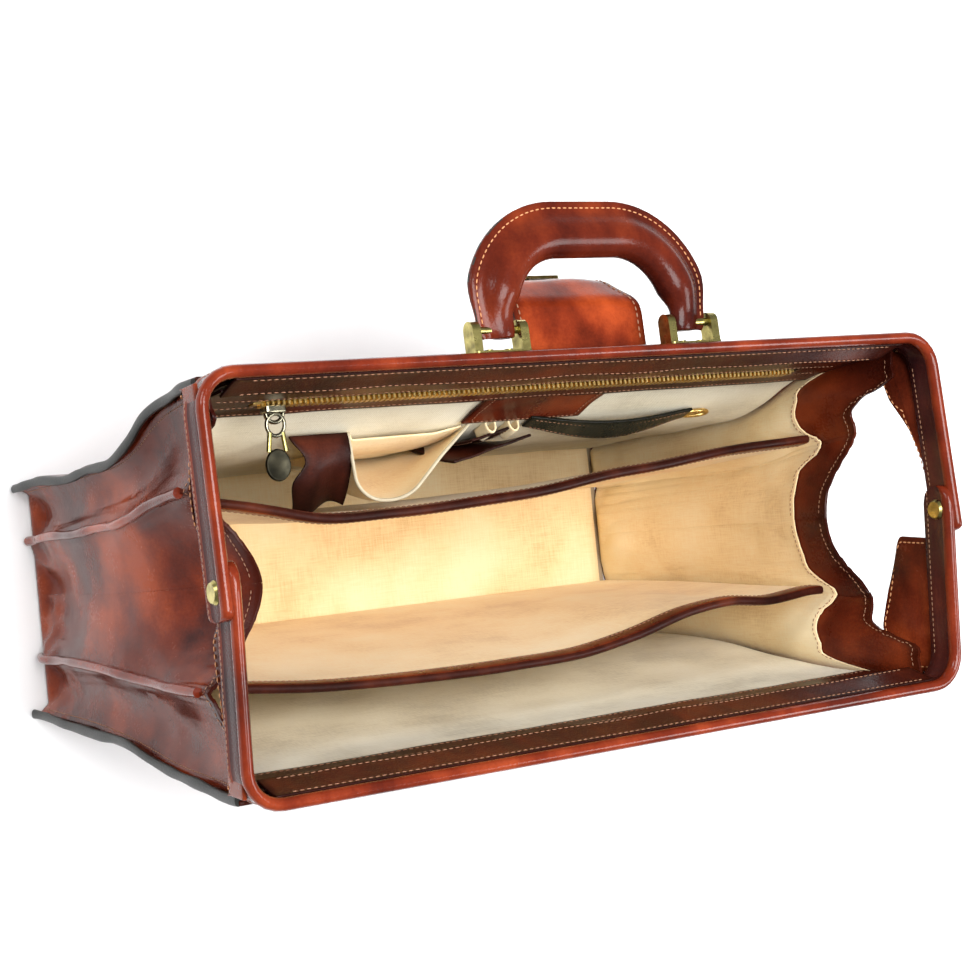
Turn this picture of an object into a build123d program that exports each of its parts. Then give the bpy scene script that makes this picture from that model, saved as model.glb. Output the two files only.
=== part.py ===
from build123d import *
from math import acos, atan2, cos, degrees, hypot, radians, sin, sqrt, tan
import os

# A framed doctor bag that stands on its base with its mouth wide open.
#
# The mouth is two U-shaped hoops of flat steel strip on edge, sewn into leather and riveted to
# each other at the leg ends. Opened, both hoops lie flat around the mouth. Closed, both stand up
# and their rails meet over the middle of the bag.
#
# Frame of reference: origin at the centre of the base on the floor, +X along the bag, +Y to the
# back, where the handle is, and +Z up out of the mouth. Lengths are millimetres.

# ---------------------------------------------------------------- driving dimensions
# Mouth frame
frame_length = 430.0          # over the back hoop, which is the outer one
leg_reach = 95.5              # from the rivet to the outer face of the rail
mouth_height = 310.0          # top edge of the rails with the bag open
frame_droop = 3.9             # degrees that each open hoop falls away from its rivets
strip_width = 20.0            # the hoop's strip, seen from the side
cover_thickness = 4.0         # strip and its leather together
bar_width = 16.0              # bare steel
bar_thickness = 1.5
corner_radius = 18.0
leg_tail = 13.0               # leg past the rivet
leg_end_share = 0.45          # radius of the leg ends over the width of their strip
rivet_radius = 2.0
rivet_head_radius = 5.5
rivet_head_height = 1.6
rivet_head_taper = 35.0       # degrees
tab_length = 46.0             # stitched tabs that hang the gussets from the legs
tab_drop = 18.0
tab_tip = 7.0
tab_start = 30.0              # from the rivet
tab_thickness = 2.0

# Bag body
base_depth = 132.0
base_corner_radius = 4.0
leather_thickness = 2.5
board_thickness = 1.2
base_board_thickness = 2.0
lining_thickness = 1.0
pleat_depth = 6.0             # how far the gusset's pleats fold in
ridge_share = 0.5             # where the inner ridges stand, over half the bag's depth
# The free top edge of the gusset, below the top of the mouth: beside the tabs, at the middle and
# beside the panels. The canvas stops lower than the leather.
gusset_peak_drop = 36.0
gusset_peak_inset = 23.0      # from the panel to the highest point
gusset_scoop_drop = 78.0
gusset_shoulder_drop = 48.0
lining_peak_drop = 84.0
lining_scoop_drop = 106.0

# Dividers
divider_thickness = 4.0
divider_drop = 88.0           # divider tops, below the top of the mouth
binding_height = 11.0
binding_thickness = 1.0
divider_closed_y = 5.0        # where the divider tops are once the bag is closed

# Zip and its facing, on the inside of the back panel
facing_thickness = 1.4
facing_height = 58.0
zip_drop = 32.0               # from the top of the wall to the zip
zip_margin = 28.0             # wall past each end of the zip window
zip_window_width = 9.0
tape_thickness = 0.8
tape_width = 16.0
tape_margin = 7.0             # tape past each end of the window
teeth_width = 2.6
teeth_height = 1.9
stop_length = 4.0
stop_width = 5.2
slider_length = 12.0
slider_height = 5.0
slider_bevel = 1.0
slider_margin = 17.0          # from the end of the window to the slider at rest
lug_thickness = 2.4
lug_width = 4.6
lug_height = 6.0
pull_pin_radius = 0.85
pull_length = 30.0
pull_arm_length = 14.0
pull_arm_width = 2.2
pull_plate_width = 13.0
pull_thickness = 1.8

# Pockets and straps on the inside of the back panel
pocket_width = 68.0
pocket_height = 100.0
pocket_depth = 14.0
pocket_wall = 1.2
pocket_x = -50.0
pocket_drop = 14.0            # from the leather patch to the pocket's mouth
pocket_flap_width = 34.0
pocket_flap_height = 60.0
card_pocket_width = 46.0
card_pocket_height = 46.0
card_pocket_x = 12.0
trim_thickness = 1.8
loop_width = 13.0
loop_depth = 11.0
loop_height = 14.0
loop_wall = 1.2
loop_round = 3.0
loop_spacing = 22.0
patch_width = 70.0
patch_height = 18.0
strap_length = 84.0
strap_width = 12.0
strap_thickness = 3.0
hook_length = 20.0
hook_width = 8.0
hook_bar = 2.7                # thickness of the hook's wire

# Front of the bag
front_facing_height = 26.0
lock_width = 40.0
lock_height = 26.0
lock_depth = 6.0
lock_drop = 46.0              # from the top of the wall to the middle of the lock
lock_round = 4.0
lock_bevel = 1.2
hasp_slot_width = 16.0
hasp_slot_height = 5.0

# Handle
bracket_span = 114.0          # between the two brackets
bracket_width = 31.0
ear_thickness = 4.5
ear_width = 9.0
bracket_plate = 2.0
plate_margin = 1.5            # plate on each side of the ears
plate_round = 1.5
pin_height = 12.5             # pivot, out from the rail
pin_radius = 2.0
handle_height = 71.0          # out from the rail
handle_grip = 29.0            # grip, from its outer edge to its inner edge
handle_spread = 5.0           # how far the handle bulges past its ends on each side
handle_bend = 46.0            # radius of the outer shoulders
handle_thickness = 16.0
handle_round = 6.0
handle_end_round = 3.0
handle_tail = 4.5             # handle past its pins
core_inset = 7.5
core_thickness = 5.0
core_gap = 1.0                # between a pin and the core
screw_radius = 2.2
screw_height = 1.0
screw_spacing = 11.0

# Closing flap
flap_width = 76.0
flap_thickness = 3.0
flap_run = 46.0               # out from the rail, before it bends down
flap_drop = 56.0              # hanging part
flap_bend = 11.0
flap_below = 13.0             # under the middle of the rail
flap_round = 16.0
hasp_width = 28.0
hasp_height = 20.0
hasp_thickness = 1.6
hasp_round = 3.0
hasp_margin = 5.0             # flap below the hasp
hasp_rivet_radius = 1.8
hasp_rivet_spacing = 18.0

# Clearances
leg_gap = 0.5                 # between the back and front legs
gusset_gap = 3.2              # between the front legs and the gussets
running_clearance = 0.05      # radial, round rivets and pins
layer_gap = 0.1               # between the layers of one wall
body_gap = 1.0                # between a wall that swings and what stands still
rail_gap = 9.5                # between the top of a swinging wall and the rail's edge
foot_gap = 2.5                # between the foot of a swinging wall and its seam
closing_gap = 1.2             # between each closed rail and the middle of the bag
head_gap = 0.2                # under a rivet head
flap_gap = 3.5                # between the rail and the root of the flap
trim_gap = 0.3                # between pieces that move past each other
base_seam_z = 4.0             # height of the seam that a wall swings about

# ---------------------------------------------------------------- worked out from them
droop = radians(frame_droop)
frame_half = frame_length / 2
base_half_depth = base_depth / 2
front_leg_x = frame_half - cover_thickness - leg_gap
gusset_x = front_leg_x - cover_thickness - gusset_gap
valley_x = gusset_x - pleat_depth
lining_x = leather_thickness + layer_gap
wall_half_length = valley_x - lining_x - lining_thickness - body_gap
rivet_z = mouth_height - strip_width / 2 * cos(droop) + leg_reach * sin(droop)

outward = Vector(0, cos(droop), -sin(droop))
facing_up = Vector(0, sin(droop), cos(droop))
rivet_centre = Vector(0, 0, rivet_z)
back_hoop = Plane(origin=rivet_centre, x_dir=(1, 0, 0), z_dir=facing_up)
front_hoop = Plane(origin=rivet_centre, x_dir=(-1, 0, 0), z_dir=(0, -sin(droop), cos(droop)))
rivet_line = Plane(origin=rivet_centre, z_dir=(1, 0, 0))

# The walls run from the base seam to the lower edge of the rail.
rail_edge = rivet_centre + outward * leg_reach - facing_up * (strip_width / 2)
wall_rise = rail_edge.Z - base_seam_z
wall_run = hypot(rail_edge.Y - base_half_depth, wall_rise)
wall_tilt = atan2(rail_edge.Y - base_half_depth, wall_rise)
wall_top = wall_run - rail_gap
# Local x of back_wall is X, local y climbs the wall and local z goes into the bag.
back_wall = Plane(
    origin=(0, base_half_depth, base_seam_z), x_dir=(1, 0, 0), z_dir=(0, -cos(wall_tilt), sin(wall_tilt))
)
front_wall = Plane(
    origin=(0, -base_half_depth, base_seam_z), x_dir=(-1, 0, 0), z_dir=(0, cos(wall_tilt), sin(wall_tilt))
)
board_depth = leather_thickness + layer_gap
lining_depth = board_depth + board_thickness + layer_gap
inner_depth = lining_depth + lining_thickness + layer_gap

base_board_z = leather_thickness + layer_gap
base_lining_z = base_board_z + base_board_thickness + layer_gap
floor_z = base_lining_z + lining_thickness
base_inner_half_depth = base_half_depth - inner_depth - body_gap

divider_foot_y = base_half_depth * ridge_share
divider_foot_z = floor_z + body_gap
ridge_tilt = atan2((rail_edge.Y - base_half_depth) * ridge_share, wall_rise)
divider_height = (mouth_height - divider_drop - divider_foot_z) / cos(ridge_tilt)


def half_depth_at(height):
    """Half the bag's depth at a height, at the outside of the panels."""
    return base_half_depth + (height - base_seam_z) * tan(wall_tilt)


# ---------------------------------------------------------------- mouth frame
def hoop(plane, half_length, reach, tail, thickness, width, corner):
    """A flat strip on edge bent to a U, with its two leg ends rounded."""
    inner_half = half_length - thickness
    inner_reach = reach - thickness
    with BuildPart() as strip:
        with BuildSketch(plane.offset(-width / 2)):
            with BuildLine():
                outer = FilletPolyline(
                    (-half_length, -tail),
                    (-half_length, reach),
                    (half_length, reach),
                    (half_length, -tail),
                    radius=corner,
                )
                inner = FilletPolyline(
                    (-inner_half, -tail),
                    (-inner_half, inner_reach),
                    (inner_half, inner_reach),
                    (inner_half, -tail),
                    radius=corner - thickness,
                )
                Line(outer @ 0, inner @ 0)
                Line(outer @ 1, inner @ 1)
            make_face()
        extrude(amount=width)
        leg_ends = strip.edges().filter_by(Axis.X).filter_by(lambda edge: edge.length < 2 * thickness)
        fillet(leg_ends, radius=leg_end_share * width)
    return strip.part


def frame_bar(plane, half_length):
    """The steel inside a hoop, with its two rivet holes."""
    inset = (cover_thickness - bar_thickness) / 2
    end_inset = (strip_width - bar_width) / 2
    with BuildPart() as bar:
        add(
            hoop(
                plane,
                half_length - inset,
                leg_reach - inset,
                leg_tail - end_inset,
                bar_thickness,
                bar_width,
                corner_radius - inset,
            )
        )
        with BuildSketch(rivet_line):
            Circle(rivet_radius + running_clearance)
        extrude(amount=frame_length, both=True, mode=Mode.SUBTRACT)
    return bar.part


def frame_cover(plane, half_length, bar):
    """The leather around a hoop's steel."""
    with BuildPart() as cover:
        add(hoop(plane, half_length, leg_reach, leg_tail, cover_thickness, strip_width, corner_radius))
        add(bar, mode=Mode.SUBTRACT)
        with BuildSketch(rivet_line):
            Circle(rivet_radius + running_clearance)
        extrude(amount=frame_length, both=True, mode=Mode.SUBTRACT)
    return cover.part


def leg_tabs(plane, half_length):
    """Two stitched tabs below the legs of a hoop, tapering towards the rail."""
    tabs_face = half_length - (cover_thickness + tab_thickness) / 2
    low = -strip_width / 2
    with BuildPart() as tabs:
        for x in (-tabs_face - tab_thickness, tabs_face):
            # Local x of the tab's plane runs out along the leg, local y up.
            corner = plane.from_local_coords(Vector(x, 0, 0))
            beside = Plane(origin=corner, x_dir=plane.y_dir, z_dir=plane.x_dir)
            with BuildSketch(beside):
                Polygon(
                    (tab_start, low),
                    (tab_start, low - tab_drop),
                    (tab_start + tab_length, low - tab_tip),
                    (tab_start + tab_length, low),
                    align=None,
                )
            extrude(amount=tab_thickness)
    return tabs.part


with BuildPart() as back_frame_bar:
    add(frame_bar(back_hoop, frame_half))

with BuildPart() as front_frame_bar:
    add(frame_bar(front_hoop, front_leg_x))

with BuildPart() as back_frame_cover:
    add(frame_cover(back_hoop, frame_half, back_frame_bar.part))

with BuildPart() as front_frame_cover:
    add(frame_cover(front_hoop, front_leg_x, front_frame_bar.part))

with BuildPart() as back_leg_tabs:
    add(leg_tabs(back_hoop, frame_half))

with BuildPart() as front_leg_tabs:
    add(leg_tabs(front_hoop, front_leg_x))

# Two rivets, each through a back leg and the front leg inside it.
rivet_grip = 2 * cover_thickness + leg_gap + 2 * head_gap
with BuildPart() as frame_rivets:
    for side in (-1, 1):
        outer_end = Plane(origin=(side * (frame_half + head_gap), 0, rivet_z), z_dir=(side, 0, 0))
        with BuildSketch(outer_end):
            Circle(rivet_head_radius)
        extrude(amount=rivet_head_height, taper=rivet_head_taper)
        with BuildSketch(outer_end):
            Circle(rivet_radius)
        extrude(amount=-rivet_grip)
        with BuildSketch(outer_end.offset(-rivet_grip)):
            Circle(rivet_head_radius)
        extrude(amount=-rivet_head_height, taper=rivet_head_taper)

# ---------------------------------------------------------------- base
with BuildPart() as base_leather:
    with BuildSketch():
        RectangleRounded(2 * gusset_x, base_depth, base_corner_radius)
    extrude(amount=leather_thickness)

base_inner_length = 2 * wall_half_length
with BuildPart() as base_board:
    with BuildSketch(Plane.XY.offset(base_board_z)):
        Rectangle(base_inner_length, 2 * base_inner_half_depth)
    extrude(amount=base_board_thickness)

with BuildPart() as base_lining:
    with BuildSketch(Plane.XY.offset(base_lining_z)):
        Rectangle(base_inner_length, 2 * base_inner_half_depth)
    extrude(amount=lining_thickness)


# ---------------------------------------------------------------- gussets
def gusset_wall(side, depth, thickness, low, peak_z, scoop_z, shoulder_z):
    """A pleated end wall. Two ridges carry the dividers and the pleats fold in between them."""
    ridge = gusset_x - depth
    valley = valley_x - depth
    valley_share = (1 + ridge_share) / 2
    peak_y = half_depth_at(peak_z) - gusset_peak_inset
    with BuildPart() as wall:
        for height in (low, peak_z + body_gap):
            half = half_depth_at(height) - body_gap
            folds = [
                (ridge, half),
                (valley, valley_share * half),
                (ridge, ridge_share * half),
                (valley, 0),
                (ridge, -ridge_share * half),
                (valley, -valley_share * half),
                (ridge, -half),
            ]
            outside = [(side * x, y) for x, y in folds]
            inside = [(side * (x - thickness), y) for x, y in reversed(folds)]
            with BuildSketch(Plane.XY.offset(height)):
                Polygon(*outside, *inside, align=None)
        loft(ruled=True)
        # The free top edge: low at the middle, highest beside the tabs.
        reach = base_depth
        with BuildSketch(Plane.YZ):
            with BuildLine():
                Line((reach, shoulder_z), (peak_y, peak_z))
                ThreePointArc((peak_y, peak_z), (0, scoop_z), (-peak_y, peak_z))
                Line((-peak_y, peak_z), (-reach, shoulder_z))
                Polyline((-reach, shoulder_z), (-reach, 2 * peak_z), (reach, 2 * peak_z), (reach, shoulder_z))
            make_face()
        extrude(amount=frame_length, both=True, mode=Mode.SUBTRACT)
    return wall.part


gusset_foot = leather_thickness
lining_foot = floor_z + layer_gap
leather_top = [mouth_height - drop for drop in (gusset_peak_drop, gusset_scoop_drop, gusset_shoulder_drop)]
lining_top = [mouth_height - drop for drop in (lining_peak_drop, lining_scoop_drop, lining_peak_drop)]
with BuildPart() as left_gusset:
    add(gusset_wall(-1, 0, leather_thickness, gusset_foot, *leather_top))

with BuildPart() as right_gusset:
    add(gusset_wall(1, 0, leather_thickness, gusset_foot, *leather_top))

with BuildPart() as left_gusset_lining:
    add(gusset_wall(-1, lining_x, lining_thickness, lining_foot, *lining_top))

with BuildPart() as right_gusset_lining:
    add(gusset_wall(1, lining_x, lining_thickness, lining_foot, *lining_top))


# ---------------------------------------------------------------- front and back panels
def wall_slab(plane, centre_x, low, width, height, depth, thickness):
    """A flat piece on a wall: low and height along the wall, depth in from its outer face."""
    with BuildPart() as slab:
        with BuildSketch(plane.offset(depth)):
            with Locations((centre_x, low + height / 2)):
                Rectangle(width, height)
        extrude(amount=thickness)
    return slab.part


wall_width = 2 * wall_half_length
wall_height = wall_top - foot_gap
wall_layers = {}
for wall_name, wall_plane in (("back", back_wall), ("front", front_wall)):
    for layer_name, layer_depth, layer_thickness in (
        ("leather", 0, leather_thickness),
        ("board", board_depth, board_thickness),
        ("lining", lining_depth, lining_thickness),
    ):
        with BuildPart() as wall_layer:
            add(wall_slab(wall_plane, 0, foot_gap, wall_width, wall_height, layer_depth, layer_thickness))
        wall_layers[f"{wall_name}_panel_{layer_name}"] = wall_layer

with BuildPart() as front_facing:
    facing_low = wall_top - front_facing_height
    add(wall_slab(front_wall, 0, facing_low, wall_width, front_facing_height, inner_depth, facing_thickness))

with BuildPart() as lock_case:
    with BuildSketch(front_wall.offset(-layer_gap)):
        with Locations((0, wall_top - lock_drop)):
            RectangleRounded(lock_width, lock_height, lock_round)
            Rectangle(hasp_slot_width, hasp_slot_height, mode=Mode.SUBTRACT)
    extrude(amount=-lock_depth)
    chamfer(lock_case.faces().sort_by(Axis.Y)[0].outer_wire().edges(), length=lock_bevel)

# ---------------------------------------------------------------- zip, on the back panel
tape_depth = inner_depth
facing_depth = tape_depth + tape_thickness + layer_gap
teeth_depth = tape_depth + tape_thickness
facing_low = wall_top - facing_height
zip_height = wall_top - zip_drop
zip_window_length = wall_width - 2 * zip_margin
with BuildPart() as zip_facing:
    with BuildSketch(back_wall.offset(facing_depth)):
        with Locations((0, facing_low + facing_height / 2)):
            Rectangle(wall_width, facing_height)
        with Locations((0, zip_height)):
            Rectangle(zip_window_length, zip_window_width, mode=Mode.SUBTRACT)
    extrude(amount=facing_thickness)

with BuildPart() as zip_tape:
    tape_low = zip_height - tape_width / 2
    tape_length = zip_window_length + 2 * tape_margin
    add(wall_slab(back_wall, 0, tape_low, tape_length, tape_width, tape_depth, tape_thickness))

teeth_length = zip_window_length - 2 * (stop_length + body_gap)
with BuildPart() as zip_teeth:
    teeth_low = zip_height - teeth_width / 2
    add(wall_slab(back_wall, 0, teeth_low, teeth_length, teeth_width, teeth_depth, teeth_height))

with BuildPart() as zip_stops:
    with BuildSketch(back_wall.offset(teeth_depth)):
        with Locations((0, zip_height)):
            with GridLocations(teeth_length + stop_length, 1, 2, 1):
                Rectangle(stop_length, stop_width)
    extrude(amount=teeth_height)

# The slider straddles the teeth; its lug carries the pull's pin.
slider_start = slider_margin - zip_window_length / 2
slider_depth = teeth_depth + trim_gap
slider_width = zip_window_width - 2 * trim_gap
lug_depth = slider_depth + slider_height
pin_depth = lug_depth + lug_height / 2
with BuildPart() as zip_slider:
    with BuildSketch(back_wall.offset(slider_depth)):
        with Locations((slider_start, zip_height)):
            Rectangle(slider_length, slider_width)
    extrude(amount=slider_height)
    with BuildSketch(back_wall.offset(slider_depth)):
        with Locations((slider_start, zip_height)):
            Rectangle(slider_length, teeth_width + 2 * trim_gap)
    extrude(amount=teeth_height, mode=Mode.SUBTRACT)
    chamfer(zip_slider.faces().sort_by(Axis.Y)[0].edges(), length=slider_bevel)
    with BuildSketch(back_wall.offset(lug_depth)):
        with Locations((slider_start, zip_height)):
            Rectangle(lug_thickness, lug_width)
    extrude(amount=lug_height)
    pull_pivot = back_wall.from_local_coords(Vector(slider_start, zip_height, pin_depth))
    with BuildSketch(Plane(origin=pull_pivot, z_dir=(1, 0, 0))):
        Circle(pull_pin_radius + running_clearance)
    extrude(amount=lug_thickness, both=True, mode=Mode.SUBTRACT)

# The pull: two arms on a pin and an oval plate, standing straight out from the wall.
arm_inner = lug_thickness / 2 + trim_gap
pull_end = pull_length - pull_plate_width / 2
pull_plane = Plane(origin=pull_pivot, x_dir=(1, 0, 0), z_dir=back_wall.y_dir)
pull_side = -1.0              # local y of pull_plane points out of the bag
with BuildPart() as zip_pull:
    with BuildSketch(pull_plane.offset(-pull_thickness / 2)):
        for side in (-1, 1):
            arm_x = side * (arm_inner + pull_arm_width / 2)
            with Locations((arm_x, pull_side * (pull_arm_length / 2 - pull_arm_width / 2))):
                Rectangle(pull_arm_width, pull_arm_length + pull_arm_width)
        with Locations((0, pull_side * (pull_arm_length + pull_end) / 2)):
            SlotOverall(pull_end - pull_arm_length + pull_plate_width, pull_plate_width, rotation=90)
    extrude(amount=pull_thickness)
    with BuildSketch(Plane(origin=pull_pivot, z_dir=(1, 0, 0))):
        Circle(pull_pin_radius)
    extrude(amount=arm_inner + pull_arm_width / 2, both=True)

# ---------------------------------------------------------------- pockets and straps inside
patch_low = facing_low - layer_gap - patch_height
pocket_top = patch_low - pocket_drop
with BuildPart() as phone_pocket:
    pocket_low = pocket_top - pocket_height
    add(wall_slab(back_wall, pocket_x, pocket_low, pocket_width, pocket_height, inner_depth, pocket_depth))
    cavity_width = pocket_width - 2 * pocket_wall
    cavity_depth = pocket_depth - 2 * pocket_wall
    add(
        wall_slab(
            back_wall,
            pocket_x,
            pocket_low + pocket_wall,
            cavity_width,
            pocket_height,
            inner_depth + pocket_wall,
            cavity_depth,
        ),
        mode=Mode.SUBTRACT,
    )

with BuildPart() as pocket_flap:
    flap_x = pocket_x - pocket_width / 2 - body_gap - pocket_flap_width / 2
    flap_low = pocket_top - pocket_flap_height
    add(wall_slab(back_wall, flap_x, flap_low, pocket_flap_width, pocket_flap_height, inner_depth, trim_thickness))

card_low = pocket_top - card_pocket_height
with BuildPart() as card_pocket:
    add(
        wall_slab(
            back_wall, card_pocket_x, card_low, card_pocket_width, card_pocket_height, inner_depth, trim_thickness
        )
    )

with BuildPart() as leather_patch:
    add(wall_slab(back_wall, card_pocket_x, patch_low, patch_width, patch_height, inner_depth, trim_thickness))

loop_face = inner_depth + trim_thickness + layer_gap
with BuildPart() as pen_loops:
    for side in (-0.5, 0.5):
        loop_centre = back_wall.from_local_coords(
            Vector(card_pocket_x + side * loop_spacing, pocket_top - loop_height, loop_face + loop_depth / 2)
        )
        with BuildSketch(Plane(origin=loop_centre, x_dir=(1, 0, 0), z_dir=back_wall.y_dir)):
            RectangleRounded(loop_width, loop_depth, loop_round)
            offset(amount=-loop_wall, mode=Mode.SUBTRACT)
        extrude(amount=loop_height)

strap_start = card_pocket_x + card_pocket_width / 2 + body_gap
with BuildPart() as key_strap:
    strap_centre = strap_start + strap_length / 2
    strap_low = pocket_top - strap_width
    add(wall_slab(back_wall, strap_centre, strap_low, strap_length, strap_width, inner_depth, strap_thickness))

with BuildPart() as key_hook:
    with BuildSketch(back_wall.offset(inner_depth)):
        with Locations((strap_start + strap_length + hook_length / 2 + layer_gap, pocket_top - strap_width / 2)):
            SlotOverall(hook_length, hook_width)
            SlotOverall(hook_length - 2 * hook_bar, hook_width - 2 * hook_bar, mode=Mode.SUBTRACT)
    extrude(amount=strap_thickness)


# ---------------------------------------------------------------- dividers
def divider_plane(side):
    """Local y climbs the divider and local z is its thickness."""
    return Plane(
        origin=(0, side * divider_foot_y, divider_foot_z),
        x_dir=(side, 0, 0),
        z_dir=(0, -side * cos(ridge_tilt), sin(ridge_tilt)),
    )


def divider_sheet(side):
    """A stiff canvas sheet that stands between two gusset ridges."""
    plane = divider_plane(side)
    return wall_slab(plane, 0, 0, wall_width, divider_height, -divider_thickness / 2, divider_thickness)


def divider_binding(side, sheet):
    """The leather folded over a divider's top edge."""
    plane = divider_plane(side)
    with BuildPart() as binding:
        low = divider_height - binding_height
        thickness = divider_thickness + 2 * binding_thickness
        add(wall_slab(plane, 0, low, wall_width, binding_height + binding_thickness, -thickness / 2, thickness))
        add(sheet, mode=Mode.SUBTRACT)
    return binding.part


with BuildPart() as back_divider_sheet:
    add(divider_sheet(1))

with BuildPart() as front_divider_sheet:
    add(divider_sheet(-1))

with BuildPart() as back_divider_binding:
    add(divider_binding(1, back_divider_sheet.part))

with BuildPart() as front_divider_binding:
    add(divider_binding(-1, front_divider_sheet.part))

# ---------------------------------------------------------------- handle
# Local y of rail_face goes out from the middle of the back rail, local z to the mouth.
rail_centre = rivet_centre + outward * leg_reach
rail_face = Plane(origin=rail_centre, x_dir=(1, 0, 0), z_dir=facing_up)
ear_gap = bracket_width - 2 * ear_thickness
handle_end_width = ear_gap - 2 * trim_gap
handle_foot = pin_height - handle_tail
ear_top = pin_height + ear_width / 2


def handle_band(inset, low, thickness):
    """The arch of the handle, taken in all round."""
    outer_end = bracket_span / 2 + handle_end_width / 2 - inset
    outer_top = outer_end + handle_spread
    inner_end = bracket_span / 2 - handle_end_width / 2 + inset
    inner_top = inner_end - handle_spread
    high = handle_height - inset
    inner_high = handle_height - handle_grip + inset
    spread_from = ear_top + body_gap
    with BuildPart() as band:
        with BuildSketch(rail_face.offset(-thickness / 2)):
            with BuildLine():
                outer = FilletPolyline(
                    (-outer_end, low),
                    (-outer_end, spread_from),
                    (-outer_top, high),
                    (outer_top, high),
                    (outer_end, spread_from),
                    (outer_end, low),
                    radius=handle_bend - inset,
                )
                inner = FilletPolyline(
                    (-inner_end, low),
                    (-inner_end, spread_from),
                    (-inner_top, inner_high),
                    (inner_top, inner_high),
                    (inner_end, spread_from),
                    (inner_end, low),
                    radius=handle_bend / 2 + inset,
                )
                Line(outer @ 0, inner @ 0)
                Line(outer @ 1, inner @ 1)
            make_face()
        extrude(amount=thickness)
    return band.part


with BuildPart() as handle_core:
    add(handle_band(core_inset, pin_height + pin_radius + core_gap, core_thickness))

pin_plane = Plane(origin=rail_centre + outward * pin_height, z_dir=(1, 0, 0))
with BuildPart() as handle_cover:
    add(handle_band(0, handle_foot, handle_thickness))
    fillet(handle_cover.edges().filter_by(Axis(rail_centre, facing_up)), radius=handle_end_round)
    flat_faces = handle_cover.faces().filter_by(Axis(rail_centre, facing_up))
    fillet(flat_faces.edges(), radius=handle_round)
    add(handle_core.part, mode=Mode.SUBTRACT)
    with BuildSketch(pin_plane):
        Circle(pin_radius + running_clearance)
    extrude(amount=bracket_span, both=True, mode=Mode.SUBTRACT)

with BuildPart() as handle_brackets:
    for side in (-1, 1):
        foot_centre = rail_centre + Vector(side * bracket_span / 2, 0, 0) + outward * layer_gap
        foot = Plane(origin=foot_centre, x_dir=(1, 0, 0), z_dir=outward)
        with BuildSketch(foot):
            RectangleRounded(bracket_width, ear_width + 2 * plate_margin, plate_round)
            with GridLocations(screw_spacing, 1, 2, 1):
                Circle(screw_radius / 2 + trim_gap, mode=Mode.SUBTRACT)
        extrude(amount=bracket_plate)
        for edge_side in (-1, 1):
            ear_middle = edge_side * (bracket_width - ear_thickness) / 2
            ear_centre = foot_centre + Vector(ear_middle - ear_thickness / 2, 0, 0)
            # Local x of the ear's plane goes out from the rail.
            with BuildSketch(Plane(origin=ear_centre, x_dir=outward, z_dir=(1, 0, 0))):
                with Locations((pin_height / 2, 0)):
                    Rectangle(pin_height, ear_width)
                with Locations((pin_height - layer_gap, 0)):
                    Circle(ear_width / 2)
                    Circle(pin_radius + running_clearance, mode=Mode.SUBTRACT)
            extrude(amount=ear_thickness)

with BuildPart() as handle_pins:
    for side in (-1, 1):
        pin_start = rail_centre + outward * pin_height + Vector(side * bracket_span / 2, 0, 0)
        with BuildSketch(Plane(origin=pin_start, z_dir=(1, 0, 0))):
            Circle(pin_radius)
        extrude(amount=bracket_width / 2, both=True)

with BuildPart() as bracket_screws:
    for side in (-1, 1):
        screw_face = rail_centre + Vector(side * bracket_span / 2, 0, 0)
        screw_face = screw_face + outward * (bracket_plate + 2 * layer_gap)
        with BuildSketch(Plane(origin=screw_face, x_dir=(1, 0, 0), z_dir=outward)):
            with GridLocations(screw_spacing, 1, 2, 1):
                Circle(screw_radius)
        extrude(amount=screw_height)
        with BuildSketch(Plane(origin=screw_face, x_dir=(1, 0, 0), z_dir=outward)):
            with GridLocations(screw_spacing, 1, 2, 1):
                Circle(screw_radius / 2)
        extrude(amount=-bracket_plate)

# ---------------------------------------------------------------- closing flap
# Local x of flap_side goes out from the rail and local y to the mouth.
flap_side = Plane(origin=rail_centre - Vector(flap_width / 2, 0, 0), x_dir=outward, z_dir=(1, 0, 0))
flap_under = -flap_below - flap_thickness
flap_end = -flap_below - flap_drop
flap_face = flap_run - flap_thickness
with BuildPart() as flap_leather:
    with BuildSketch(flap_side):
        with BuildLine():
            over = FilletPolyline(
                (flap_gap, -flap_below), (flap_run, -flap_below), (flap_run, flap_end), radius=flap_bend
            )
            under = FilletPolyline(
                (flap_gap, flap_under), (flap_face, flap_under), (flap_face, flap_end), radius=flap_bend - flap_thickness
            )
            Line(over @ 0, under @ 0)
            Line(over @ 1, under @ 1)
        make_face()
    extrude(amount=flap_width)
    tongue_corners = flap_leather.edges().filter_by(Axis(rail_centre, outward)).group_by(Axis.Z)[0]
    fillet(tongue_corners, radius=flap_round)

hasp_middle = flap_end + hasp_height / 2 + hasp_margin
with BuildPart() as flap_hasp:
    hasp_centre = rail_centre + outward * (flap_run + layer_gap) + facing_up * hasp_middle
    with BuildSketch(Plane(origin=hasp_centre, x_dir=(1, 0, 0), z_dir=outward)):
        RectangleRounded(hasp_width, hasp_height, hasp_round)
        with GridLocations(hasp_rivet_spacing, 1, 2, 1):
            Circle(hasp_rivet_radius / 2 + trim_gap, mode=Mode.SUBTRACT)
    extrude(amount=hasp_thickness)

with BuildPart() as hasp_rivets:
    rivet_face = hasp_centre + outward * (hasp_thickness + layer_gap)
    with BuildSketch(Plane(origin=rivet_face, x_dir=(1, 0, 0), z_dir=outward)):
        with GridLocations(hasp_rivet_spacing, 1, 2, 1):
            Circle(hasp_rivet_radius)
    extrude(amount=screw_height)
    with BuildSketch(Plane(origin=rivet_face, x_dir=(1, 0, 0), z_dir=outward)):
        with GridLocations(hasp_rivet_spacing, 1, 2, 1):
            Circle(hasp_rivet_radius / 2)
    extrude(amount=-hasp_thickness)

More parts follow.
